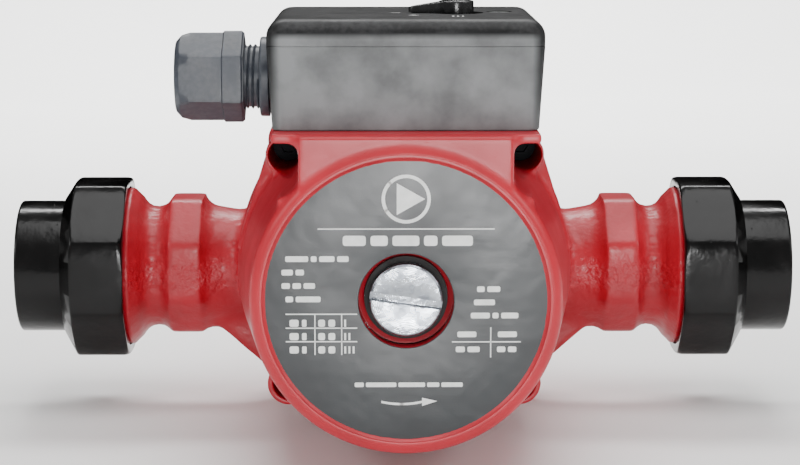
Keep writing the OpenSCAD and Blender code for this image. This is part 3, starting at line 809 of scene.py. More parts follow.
@dataclass(frozen=True)
class WoundCopper(Finish):
    """Enamelled copper wire, wound into a bundle and laced: fine strands with amber varnish.

    Attributes:
        wire_mm: thickness of the wire, drawn twice as coarse as the real one so that it shows.
    """

    wire_mm: float = 0.8

    def dress(self, tree: bpy.types.NodeTree, shader: bpy.types.Node, bump: bpy.types.Node,
              where: bpy.types.NodeSocket) -> None:
        """Adds the strands and the varnish.

        Args:
            tree: the material's tree.
            shader: its Principled node.
            bump: the bump of the fine grain.
            where: the coordinates.
        """
        strands = add_node(tree, "ShaderNodeTexWave", {"bands_direction": "Y"},
                           {"Vector": where, "Scale": WAVE_PERIOD / (self.wire_mm * MM),
                            "Distortion": 3.0, "Detail": 1.0})
        wound = add_node(tree, "ShaderNodeBump", {},
                         {"Strength": 1.0, "Distance": 0.3 * MM, "Height": strands.outputs["Fac"],
                          "Normal": bump.outputs["Normal"]})
        tree.links.new(wound.outputs["Normal"], shader.inputs["Normal"])
        shader.inputs["Coat Weight"].default_value = 0.6


@dataclass(frozen=True)
class StackedSheet(Finish):
    """Punched electrical steel sheets pressed into a stack: edges of sheets side by side.

    Attributes:
        metallic: 1, bare metal.
        sheet_mm: thickness of one sheet.
    """

    metallic: float = 1.0
    sheet_mm: float = 0.5

    def dress(self, tree: bpy.types.NodeTree, shader: bpy.types.Node, bump: bpy.types.Node,
              where: bpy.types.NodeSocket) -> None:
        """Adds the lines between the sheets.

        Args:
            tree: the material's tree.
            shader: its Principled node.
            bump: the bump of the fine grain.
            where: the coordinates.
        """
        sheets = add_node(tree, "ShaderNodeTexWave", {"bands_direction": "Y", "wave_profile": "SAW"},
                          {"Vector": where, "Scale": WAVE_PERIOD / (self.sheet_mm * MM)})
        edged = add_node(tree, "ShaderNodeBump", {},
                         {"Strength": 1.0, "Distance": 0.05 * MM, "Height": sheets.outputs["Fac"],
                          "Normal": bump.outputs["Normal"]})
        tree.links.new(edged.outputs["Normal"], shader.inputs["Normal"])


@dataclass(frozen=True)
class PrintedFoil(Finish):
    """Satin aluminium foil with a printed grey ground, pressed on and slightly uneven.

    Attributes:
        dent_mm: size of the soft waves in the foil.
        brush_mm: spacing of the drawn lines.
    """

    dent_mm: float = 11.0
    brush_mm: float = 0.3

    def dress(self, tree: bpy.types.NodeTree, shader: bpy.types.Node, bump: bpy.types.Node,
              where: bpy.types.NodeSocket) -> None:
        """Adds the waves and the drawn lines of the foil.

        Args:
            tree: the material's tree.
            shader: its Principled node.
            bump: the bump of the fine grain.
            where: the coordinates.
        """
        waves = self.noise(tree, where, self.dent_mm, 2.0).outputs["Fac"]
        dented = add_node(tree, "ShaderNodeBump", {},
                          {"Strength": 1.0, "Distance": 0.35 * MM, "Height": waves,
                           "Normal": bump.outputs["Normal"]})
        stretch = add_node(tree, "ShaderNodeMapping", {}, {"Vector": where, "Scale": (0.03, 1.0, 1.0)})
        lines = self.noise(tree, stretch.outputs[0], self.brush_mm, 2.0).outputs["Fac"]
        drawn = add_node(tree, "ShaderNodeBump", {},
                         {"Strength": 0.5, "Distance": 0.01 * MM, "Height": lines,
                          "Normal": dented.outputs["Normal"]})
        tree.links.new(drawn.outputs["Normal"], shader.inputs["Normal"])
        shader.inputs["Coat Weight"].default_value = 0.25
        shader.inputs["Coat Roughness"].default_value = 0.3


def shaft_centre() -> tuple[float, float, float]:
    """A point on the motor shaft, in millimetres."""
    return (CENTRE_X, 0.0, SHAFT_Z)


def lid_edge_height() -> float:
    """Where the lid's top edge starts to curve, in millimetres."""
    return box_mm("terminal_lid")[1].z - 3.4


def box_half_width() -> float:
    """Half the width of the terminal box, in millimetres."""
    return box_mm("terminal_base")[1].x - CENTRE_X


def finishes() -> dict[str, Finish]:
    """The finish of each material slot of the record, and of one worn variant."""
    pipe_centre = (CENTRE_X, 0.0, 0.0)
    return {
        # iron sand casting under red enamel: lumpy, glossy, with a scabby mould line on the pipe
        "red_enamel_iron": CastEnamel(
            "red_enamel_on_sand_cast_iron", "B01326", "9E0D1E", smooth=0.36, rough=0.5,
            patch_mm=18, grain_mm=0.9, relief_mm=0.05, lump_mm=3.2, lump_relief_mm=0.28,
            rough_band=6.5),
        # die cast aluminium under the same paint: flatter, with a light orange peel
        "red_enamel_aluminium": CastEnamel(
            "red_enamel_on_die_cast_aluminium", "B71529", "A60F21", smooth=0.38, rough=0.5,
            patch_mm=22, grain_mm=0.7, relief_mm=0.02, lump_mm=2.6, lump_relief_mm=0.07),
        # malleable iron fittings in gloss black: deep black with soft lumps
        "black_malleable_iron": CastEnamel(
            "black_enamel_on_malleable_iron", "050505", "0B0A0A", smooth=0.12, rough=0.26,
            patch_mm=12, grain_mm=0.8, relief_mm=0.015, lump_mm=3.4, lump_relief_mm=0.1, coat=0.0,
            gloss=0.28),
        # glass-filled polyamide box: satin black with light dust, and painted glare: a lighter, cloudy grey on its
        # upright faces between the rounded edges
        "black_plastic": MouldedPlastic(
            "black_glass_filled_polyamide", "121213", "1B1B1C", smooth=0.4, rough=0.52,
            patch_mm=14, grain_mm=0.35, relief_mm=0.015, dust_share=0.06, gloss=0.25,
            # painted glare on the upright faces, up to where the lid's top edge curves and 1 mm inside the sides
            painted_glare=0.72, painted_glare_top=lid_edge_height(), painted_glare_side=box_half_width() - 1.0),
        # the selector: the same plastic, rubbed shiny by fingers
        "rubbed_black_plastic": MouldedPlastic(
            "rubbed_black_polyamide", "0C0C0D", "151516", smooth=0.18, rough=0.32,
            patch_mm=5, grain_mm=0.3, relief_mm=0.006, dust_share=0.05),
        # polyamide gland: dark blue-grey, a little smoother than the box
        "grey_plastic": MouldedPlastic(
            "blue_grey_polyamide", "2B2F37", "363B44", smooth=0.34, rough=0.46,
            patch_mm=8, grain_mm=0.4, relief_mm=0.012, dust_share=0.1),
        # nickel plated brass vent plug: bright, with lathe rings and light wear
        "nickel_brass": TurnedMetal(
            "nickel_plated_turned_brass", "C3C8CF", "8E939B", smooth=0.12, rough=0.36,
            patch_mm=3.5, grain_mm=1.5, relief_mm=0.13, centre=shaft_centre()),
        # drawn stainless steel
        "stainless": TurnedMetal(
            "drawn_stainless_steel", "B4B5B6", "9C9D9F", smooth=0.22, rough=0.38,
            centre=shaft_centre()),
        # zinc plated screws: pale, slightly blue
        "zinc_steel": TurnedMetal(
            "zinc_plated_steel", "B9BCC0", "A3A69F", smooth=0.28, rough=0.42, axis="Z",
            ring_relief_mm=0.004, centre=pipe_centre),
        # black oxide socket screws
        "black_oxide_steel": TurnedMetal(
            "black_oxide_steel", "0B0B0C", "101011", smooth=0.34, rough=0.5,
            ring_relief_mm=0.004, centre=shaft_centre()),
        "lamination_steel": StackedSheet(
            "punched_electrical_steel", "7E8288", "6A6D72", smooth=0.35, rough=0.5),
        "copper_winding": WoundCopper(
            "varnished_copper_wire", "A8552A", "7F3C1B", metallic=0.8, smooth=0.25, rough=0.4),
        "brass": TurnedMetal(
            "turned_brass", "C9A24E", "A98538", smooth=0.22, rough=0.36, axis="Z",
            ring_relief_mm=0.004, centre=pipe_centre),
        # EPDM rubber: nearly black and dull
        "rubber": Finish("moulded_epdm_rubber", "151515", "1D1D1C", smooth=0.6, rough=0.75,
                         patch_mm=6, grain_mm=0.5, relief_mm=0.02),
        # pressed aramid fibre sheet: flecked grey
        "fibre_gasket": Finish("pressed_fibre_sheet", "4A4B47", "383936", smooth=0.7, rough=0.85,
                               patch_mm=0.8, grain_mm=0.5, relief_mm=0.05),
        "carbon": Finish("sintered_carbon", "202124", "2B2C30", smooth=0.3, rough=0.5,
                         patch_mm=1.0, grain_mm=0.3, relief_mm=0.01),
        "ceramic": Finish("ground_alumina_ceramic", "E8E4D8", "DDD8CA", smooth=0.15, rough=0.28,
                          patch_mm=4, grain_mm=0.4, relief_mm=0.004),
        "impeller_plastic": MouldedPlastic(
            "tan_glass_filled_plastic", "C4AC7A", "B39A68", smooth=0.4, rough=0.55, dust_share=0.05),
        # printed foil nameplate: mid grey satin
        "label_foil": PrintedFoil(
            "printed_aluminium_foil", "22272A", "1D2124", metallic=0.0, smooth=0.3, rough=0.4,
            patch_mm=16, grain_mm=0.5, relief_mm=0.01),
        "label_ink": Finish("white_screen_print", "F3F4F2", "E4E6E3", smooth=0.45, rough=0.6,
                            patch_mm=3, grain_mm=0.3, relief_mm=0.01),
        "white_plastic": MouldedPlastic(
            "white_polyamide", "D9D5C8", "CBC7B8", smooth=0.4, rough=0.5, dust_share=0.08),
        "orange_plastic": MouldedPlastic(
            "orange_polyamide", "D2691E", "BE5B16", smooth=0.38, rough=0.5, dust_share=0.05),
        "capacitor_case": MouldedPlastic(
            "grey_capacitor_case", "4A4D55", "42454C", smooth=0.35, rough=0.5, dust_share=0.1),
        "lead_insulation": MouldedPlastic(
            "blue_silicone_sleeving", "1F3F8F", "1A367D", smooth=0.45, rough=0.6, dust_share=0.05),
    }


MATERIALS: dict[str, bpy.types.Material] = {}


def dress(obj: bpy.types.Object, slot: str, body: str, *stands_for: str,
          worn: str | None = None) -> bpy.types.Object:
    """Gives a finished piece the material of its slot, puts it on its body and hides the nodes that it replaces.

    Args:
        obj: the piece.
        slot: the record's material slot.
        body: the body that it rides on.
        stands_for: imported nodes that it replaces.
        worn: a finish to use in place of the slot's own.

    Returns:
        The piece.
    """
    obj.data.materials.clear()
    obj.data.materials.append(MATERIALS[worn or slot])
    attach(obj, body)
    if stands_for:
        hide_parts(*stands_for)
    LOG.info("piece %s: %d faces, %s", obj.name, len(obj.data.polygons), slot)
    return obj


# ---------------------------------------------------------------------------------------------
# Threads, by geometry nodes
# ---------------------------------------------------------------------------------------------


@dataclass
class Thread:
    """A screw thread as a ridge that climbs round an axis.

    Attributes:
        name: name of the piece.
        crest: radius of the thread's crest.
        depth: height of the ridge; negative for a thread inside a hole.
        pitch: climb in one turn.
        start: where the thread starts along the axis.
        length: length of the thread.
        where: frame of the thread, with z along the axis.
    """

    name: str
    crest: float
    depth: float
    pitch: float
    start: float
    length: float
    where: Matrix

    def tree(self) -> bpy.types.NodeTree:
        """Makes the geometry node tree: a spiral swept with a pointed profile.

        Returns:
            The tree, with its sizes and its material as named inputs.
        """
        group = bpy.data.node_groups.new("thread_ridge", "GeometryNodeTree")
        face = group.interface
        face.new_socket("Geometry", in_out="OUTPUT", socket_type="NodeSocketGeometry")
        for label in ("Root Radius", "Turns", "Climb", "Ridge"):
            face.new_socket(label, in_out="INPUT", socket_type="NodeSocketFloat")
        face.new_socket("Material", in_out="INPUT", socket_type="NodeSocketMaterial")
        given = add_node(group, "NodeGroupInput").outputs
        spiral = add_node(group, "GeometryNodeCurveSpiral", {},
                          {"Resolution": 72, "Rotations": given["Turns"],
                           "Start Radius": given["Root Radius"], "End Radius": given["Root Radius"],
                           "Height": given["Climb"]})
        level = add_node(group, "GeometryNodeSetCurveNormal", {"mode": "Z_UP"},
                         {"Curve": spiral.outputs[0]})
        profile = add_node(group, "GeometryNodeCurvePrimitiveCircle", {},
                           {"Resolution": 4, "Radius": given["Ridge"]})
        sweep = add_node(group, "GeometryNodeCurveToMesh", {},
                         {"Curve": level.outputs[0], "Profile Curve": profile.outputs[0],
                          "Fill Caps": True})
        real = add_node(group, "GeometryNodeRealizeInstances", {}, {0: sweep.outputs[0]})
        painted = add_node(group, "GeometryNodeSetMaterial", {},
                           {"Geometry": real.outputs[0], "Material": given["Material"]})
        add_node(group, "NodeGroupOutput", {}, {0: painted.outputs[0]})
        return group

    def build(self, slot: str, body: str) -> bpy.types.Object:
        """Makes the ridge and puts it on its body.

        Args:
            slot: material slot.
            body: the body that it rides on.

        Returns:
            The piece.
        """
        obj = link_object(self.name, bpy.data.meshes.new(self.name))
        ridge = abs(self.depth)
        climb = self.length - 2 * ridge
        root = self.crest - math.copysign(ridge, self.depth)
        values = {"Root Radius": root * MM, "Turns": climb / self.pitch, "Climb": climb * MM,
                  "Ridge": ridge * MM, "Material": MATERIALS[slot]}
        modifier = obj.modifiers.new("thread", "NODES")
        modifier.node_group = self.tree()
        for item in modifier.node_group.interface.items_tree:
            if item.in_out == "INPUT":
                modifier[item.identifier] = values[item.name]
        bake(obj)
        back = Matrix.Scale(1 / MM, 4)
        lift = Matrix.Translation((0, 0, self.start + ridge))
        obj.data.transform(self.where @ lift @ back)
        finish_mesh(obj, 40)
        return dress(obj, slot, body)


# ---------------------------------------------------------------------------------------------
# Sub-assemblies
# ---------------------------------------------------------------------------------------------


@dataclass
class PumpBody:
    """The iron pump casting with its port threads.

    Attributes:
        thread_pitch: pitch of the port thread.
        thread_depth: depth of the port thread.
        cover: length of thread that is cut on each port.
    """

    thread_pitch: float = 2.309
    thread_depth: float = 1.2
    cover: float = 7.8

    def build(self) -> None:
        """Makes the casting and both port threads."""
        low, high = box_mm("pump_body")
        half_span = (high.x - low.x) / 2
        gasket_low, gasket_high = box_mm("inlet_gasket")
        crest = (gasket_high.z - gasket_low.z) / 2 + 1
        rings = []
        for side in Side:
            outline = [(crest - self.thread_depth, half_span - self.cover),
                       (crest + 3, half_span - self.cover), (crest + 3, half_span + 2),
                       (crest - self.thread_depth, half_span + 2)]
            rings.append(turned(f"cutter_{side.name}", outline, pipe_place(side)))
        body = casting("pump_casting", "pump_body", 0.85, 2.4, 9, 0.75, rings)
        dress(body, "red_enamel_iron", "pump", "pump_body")
        for side in Side:
            Thread(f"{side.name.lower()}_port_thread", crest, self.thread_depth / 2,
                   self.thread_pitch, half_span - self.cover, self.cover,
                   pipe_place(side)).build("red_enamel_iron", "pump")


@dataclass
class Union:
    """One union: the octagonal nut and the tailpiece it pulls in.

    Attributes:
        side: which end of the pump it is on.
        bevel: axial length of the bevel on the nut's outer end.
        corner: how softly the flats meet.
        shoulder_r: radius of the hole in the nut's outer end.
        wall_r: outer radius of the tailpiece.
        bore_r: radius of its water passage.
        thread_r: radius of its pipe thread.
        thread_len: length of that thread.
        pitch: pitch of that thread.
    """

    side: Side
    bevel: float = 3.8
    corner: float = 0.55
    shoulder_r: float = 20.0
    wall_r: float = 19.7
    bore_r: float = 13.0
    thread_r: float = 15.145
    thread_len: float = 15.6
    pitch: float = 2.309

    def label(self) -> str:
        """inlet or outlet."""
        return self.side.name.lower()

    def build(self) -> None:
        """Makes the nut, the tailpiece and the thread inside it."""
        self.nut()
        self.tail()

    def along(self, node: str) -> tuple[float, float]:
        """How far a node reaches along the pipe, measured outwards from the pump's centre.

        Args:
            node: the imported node.

        Returns:
            Its inner and outer end in millimetres.
        """
        low, high = box_mm(node)
        ends = sorted(abs(x - CENTRE_X) for x in (low.x, high.x))
        return ends[0], ends[1]

    def nut(self) -> None:
        """Makes the octagonal nut, bevelled at its outer end."""
        node = f"{self.label()}_union_nut"
        low, high = box_mm(node)
        start, end = self.along(node)
        _, seat = self.along(f"{self.label()}_slip_ring")
        across = high.z - low.z
        gasket_low, gasket_high = box_mm(f"{self.label()}_gasket")
        bore = (gasket_high.z - gasket_low.z) / 2 + 1.05
        shoulder_r = self.shoulder_r
        corner = across / 2 + 1.6
        outline = rounded([
            (bore, start, 0.5), (corner - 0.6, start, 1.0), (corner, start + 1.4, 1.0),
            (corner, end - self.bevel, 1.2), (shoulder_r + 1.0, end, 0.7),
            (shoulder_r, end, 0.3), (shoulder_r, seat, 0.3), (bore, seat, 0.4)])
        piece = turned(node + "_cast", outline, pipe_place(self.side), 240,
                       flats(across, 8, self.corner))
        dress(piece, "black_malleable_iron", f"{self.label()}_nut", node)

    def tail(self) -> None:
        """Makes the tailpiece with its flange, a root fillet and the pipe thread inside."""
        node = f"{self.label()}_tailpiece"
        low, high = box_mm(node)
        start, end = self.along(node)
        flange_r = (high.z - low.z) / 2
        flange_end = self.along(f"{self.label()}_slip_ring")[0]
        thread_end = end - self.thread_len
        outline = rounded([
            (self.bore_r, start, 0.3), (flange_r, start, 0.5), (flange_r, flange_end, 0.4),
            (self.wall_r, flange_end, 0.2), (self.wall_r, end, 0.9),
            (self.thread_r + 1.4, end, 0.3), (self.thread_r, end - 1.6, 0.2),
            (self.thread_r, thread_end, 0.2), (self.bore_r, thread_end - 1, 0.2)])
        piece = turned(node + "_cast", outline, pipe_place(self.side), 144)
        dress(piece, "black_malleable_iron", "pump", node)
        Thread(f"{self.label()}_pipe_thread", self.thread_r - 0.05, -0.55, self.pitch,
               thread_end + 0.5, self.thread_len - 2, pipe_place(self.side)
               ).build("black_malleable_iron", "pump")


@dataclass
class Motor:
    """The stator housing with the nameplate and the vent plug.

    Attributes:
        lip_t: width of the machined lip round the nameplate.
        slot_w: width of the screwdriver slot.
        slot_depth: depth of the slot.
        slot_turn: angle of the slot in degrees.
        vent_pitch: pitch of the vent plug's thread.
        shank_r: radius of its thread.
        hole_r: radius of the vent hole in the nameplate.
    """

    lip_t: float = 1.1
    slot_w: float = 2.1
    slot_depth: float = 2.0
    slot_turn: float = -8.0
    vent_pitch: float = 1.5
    shank_r: float = 7.5
    hole_r: float = 12.5

    def build(self) -> None:
        """Makes the housing, the lip, the nameplate and the vent plug."""
        self.where = shaft_place()
        housing_low, _ = box_mm("stator_housing")
        plate_low, plate_high = box_mm("nameplate")
        self.front = -housing_low.y
        self.plate_z = -plate_high.y
        self.plate_t = plate_high.y - plate_low.y
        self.plate_r = (plate_high.z - plate_low.z) / 2
        housing = casting("stator_housing_cast", "stator_housing", 0.62, 1.3, 4, 0.42)
        dress(housing, "red_enamel_aluminium", "pump", "stator_housing")
        self.lip()
        self.plate()
        self.plug()

    def lip(self) -> None:
        """Makes the crisp lip that frames the nameplate and the collar inside the vent hole."""
        inner = self.plate_r + 0.22
        outline = rounded([
            (inner, self.plate_z - 0.8, 0), (inner, self.front, 0.35),
            (inner + self.lip_t, self.front - 0.05, 0.3),
            (inner + self.lip_t, self.plate_z - 0.8, 0)])
        rim = turned("nameplate_lip", outline, self.where, 256)
        dress(rim, "red_enamel_aluminium", "pump")
        nose_low, nose_high = box_mm("vent_seal")
        nose_r, back = (nose_high.x - nose_low.x) / 2 + 0.06, -nose_high.y
        collar = rounded([(nose_r, back - 4, 0.2), (self.hole_r + 0.2, back - 4, 0.2),
                          (self.hole_r + 0.2, back - 0.2, 0.2), (nose_r, back - 0.9, 0.3)])
        dress(turned("vent_hole_collar", collar, self.where, 144), "red_enamel_aluminium", "pump")

    def plate(self) -> None:
        """Makes the nameplate disc with a rolled edge."""
        top = self.plate_z + self.plate_t
        outline = rounded([
            (self.hole_r, self.plate_z, 0.1), (self.plate_r, self.plate_z, 0.1),
            (self.plate_r, top, 0.25), (self.hole_r, top, 0.25)])
        disc = turned("nameplate_foil", outline, self.where, 256)
        dress(disc, "label_foil", "pump", "nameplate")

    def plug(self) -> None:
        """Makes the slotted vent plug and the thread on its shank."""
        low, high = box_mm("vent_plug")
        seal_low, _ = box_mm("vent_seal")
        head_z, head_end, shank_z = -seal_low.y, -low.y, -high.y
        head_r = (high.x - low.x) / 2
        shank_r = self.shank_r
        outline = rounded([
            (0, shank_z, 0), (shank_r - 1.2, shank_z, 0.2), (shank_r - 0.75, shank_z + 0.7, 0.1),
            (shank_r - 0.75, head_z, 0.1), (head_r, head_z, 0.3), (head_r, head_end - 0.5, 0.2),
            (head_r - 0.6, head_end, 0.2), (0, head_end, 0)])
        body = turned("vent_plug_turned", outline, self.where, 160)
        half = self.slot_w / 2
        loop = [(-head_r - 1, -half), (head_r + 1, -half), (head_r + 1, half), (-head_r - 1, half)]
        twist = self.where @ Matrix.Rotation(math.radians(self.slot_turn), 4, "Z")
        slot = lofted("slot_cutter", [[(x, y, z) for x, y in loop]
                                      for z in (head_end - self.slot_depth, head_end + 1)], twist)
        cut_away(body, [slot], 30)
        edge = body.modifiers.new("edge", "BEVEL")
        edge.width = 0.12 * MM
        edge.segments = 2
        edge.limit_method = "ANGLE"
        edge.angle_limit = math.radians(50)
        bake(body, 35)
        dress(body, "nickel_brass", "vent_screw", "vent_plug")
        Thread("vent_plug_thread", shank_r, 0.38, self.vent_pitch, shank_z + 0.5,
               head_z - shank_z - 1, self.where).build("nickel_brass", "vent_screw")


@dataclass
class NameplatePrint:
    """The white print on the nameplate, all signs and no words.

    Attributes:
        rise: height of the ink over the foil.
        rule: thickness of the thin rules.
        text_h: height of the dashes that stand in for a line of data.
        verts: the corners so far, in metres.
        faces: the faces so far.
    """

    rise: float = 0.06
    rule: float = 0.3
    text_h: float = 1.5
    verts: list[Vector] = field(default_factory=list)
    faces: list[list[int]] = field(default_factory=list)

    def build(self) -> None:
        """Makes the print as one piece."""
        self.where = shaft_place()
        low, _ = box_mm("nameplate")
        self.top = -low.y
        self.emblem(0, 26.9, 6.4)
        self.bar(-23, 18.9, 46, 0.3)
        self.dashes(-16.5, 14.6, [6, 4.5, 7, 3.5, 8], 2.7)
        for row, words in enumerate([[6, 1.5, 4, 3], [3, 2.2], [2.2, 2.2, 3], [2, 6.5]]):
            self.dashes(-33 + 1.0 * abs(row - 1.5), 10.4 - 3.55 * row, words, self.text_h)
        self.grid([-31.5, -24, -17, -12.8], [-3.6, -7.3, -10.9, -14.3])
        for row in range(3):
            y = -6.8 - 3.55 * row
            self.dashes(-30.5, y, [2.4, 1.2], 1.9)
            self.dashes(-23.0, y, [1.8, 1.8], 1.9)
            for mark in range(row + 1):
                self.bar(-16.2 + 1.1 * mark, y, 0.5, 1.9)
        for row, words in enumerate([[2, 3.4], [5.5], [5, 1.6, 4.5]]):
            self.dashes(18.5 - 0.8 * row, 2.4 - 3.5 * row, words, self.text_h)
        self.dashes(13.4, -9.6, [5], 1.5)
        self.dashes(24, -9.6, [5], 1.5)
        self.bar(12, -11.0, 18, 0.3)
        self.bar(22, -15.0, 0.3, 8.0)
        self.dashes(13, -13.6, [2.4, 3.2], 1.5)
        self.dashes(23.8, -13.6, [2.2, 2.2], 1.5)
        self.dashes(-13.5, -22.9, [2.4, 8, 7, 3.2, 5.6], 1.2)
        self.arrow(-6.5, 8.2, -26.9)
        ink = make_object("nameplate_marks", self.verts, self.faces)
        dress(ink, "label_ink", "pump", "nameplate_print")
        LOG.info("print has %d faces", len(self.faces))

    def slab(self, outline: Sequence[tuple[float, float]]) -> None:
        """Adds a flat slab of ink.

        Args:
            outline: its corners on the nameplate, in order.
        """
        first, count = len(self.verts), len(outline)
        for z in (self.top - 0.02, self.top + self.rise):
            self.verts.extend(self.where @ Vector((x, y, z)) for x, y in outline)
        self.faces.append(list(range(first, first + count)))
        self.faces.append(list(range(first + count, first + 2 * count)))
        for k in range(count):
            n = (k + 1) % count
            self.faces.append([first + k, first + n, first + count + n, first + count + k])

    def bar(self, x: float, y: float, width: float, height: float) -> None:
        """Adds a plain bar with its lower left corner at x, y."""
        self.slab([(x, y), (x + width, y), (x + width, y + height), (x, y + height)])

    def dashes(self, x: float, y: float, words: Sequence[float], height: float) -> None:
        """Adds a row of round-ended dashes in place of a line of data.

        Args:
            x: left end of the row.
            y: foot of the row.
            words: length of each dash.
            height: height of the dashes.
        """
        for width in words:
            radius = 0.3 * min(height, width)
            corners = [(x, y, radius), (x + width, y, radius), (x + width, y + height, radius),
                       (x, y + height, radius)]
            self.slab(rounded(corners, 3))
            x += width + 0.45 * height

    def grid(self, columns: Sequence[float], rows: Sequence[float]) -> None:
        """Adds the rules of a table.

        Args:
            columns: places of the upright rules, of which the outer two are left open.
            rows: places of the level rules.
        """
        for y in rows[:-1]:
            self.bar(columns[0], y, columns[-1] - columns[0], self.rule)
        for x in columns[1:-1]:
            self.bar(x, rows[-1], self.rule, rows[0] - rows[-1])

    def emblem(self, x: float, y: float, radius: float) -> None:
        """Adds the drawing sign of a pump: a ring with a triangle that points along the flow.

        Args:
            x: middle of the sign.
            y: middle of the sign.
            radius: outer radius of the ring.
        """
        steps = 48
        for k in range(steps):
            here, there = (TURN * i / steps for i in (k, k + 1))
            inner = radius - 0.9
            self.slab([(x + inner * math.cos(here), y + inner * math.sin(here)),
                       (x + radius * math.cos(here), y + radius * math.sin(here)),
                       (x + radius * math.cos(there), y + radius * math.sin(there)),
                       (x + inner * math.cos(there), y + inner * math.sin(there))])
        reach = radius - 1.5
        back, half = x - reach * 0.5, reach * 0.85
        self.slab([(back, y - half), (x + reach, y), (back, y + half)])

    def arrow(self, start: float, end: float, y: float) -> None:
        """Adds the flow arrow, which bends with the rim of the nameplate.

        Args:
            start: left end.
            end: tip.
            y: height of its middle.
        """
        head = 4.0
        steps = 10
        sag = 0.6
        level = [y - sag + sag * ((2 * k / steps - 1) ** 2) for k in range(steps + 1)]
        for k in range(steps):
            x0, x1 = (start + (end - head - start) * i / steps for i in (k, k + 1))
            self.slab([(x0, level[k] - 0.3), (x1, level[k + 1] - 0.3),
                       (x1, level[k + 1] + 0.3), (x0, level[k] + 0.3)])
        self.slab([(end - head, y - 1.1), (end, y + 0.2), (end - head, y + 1.1)])


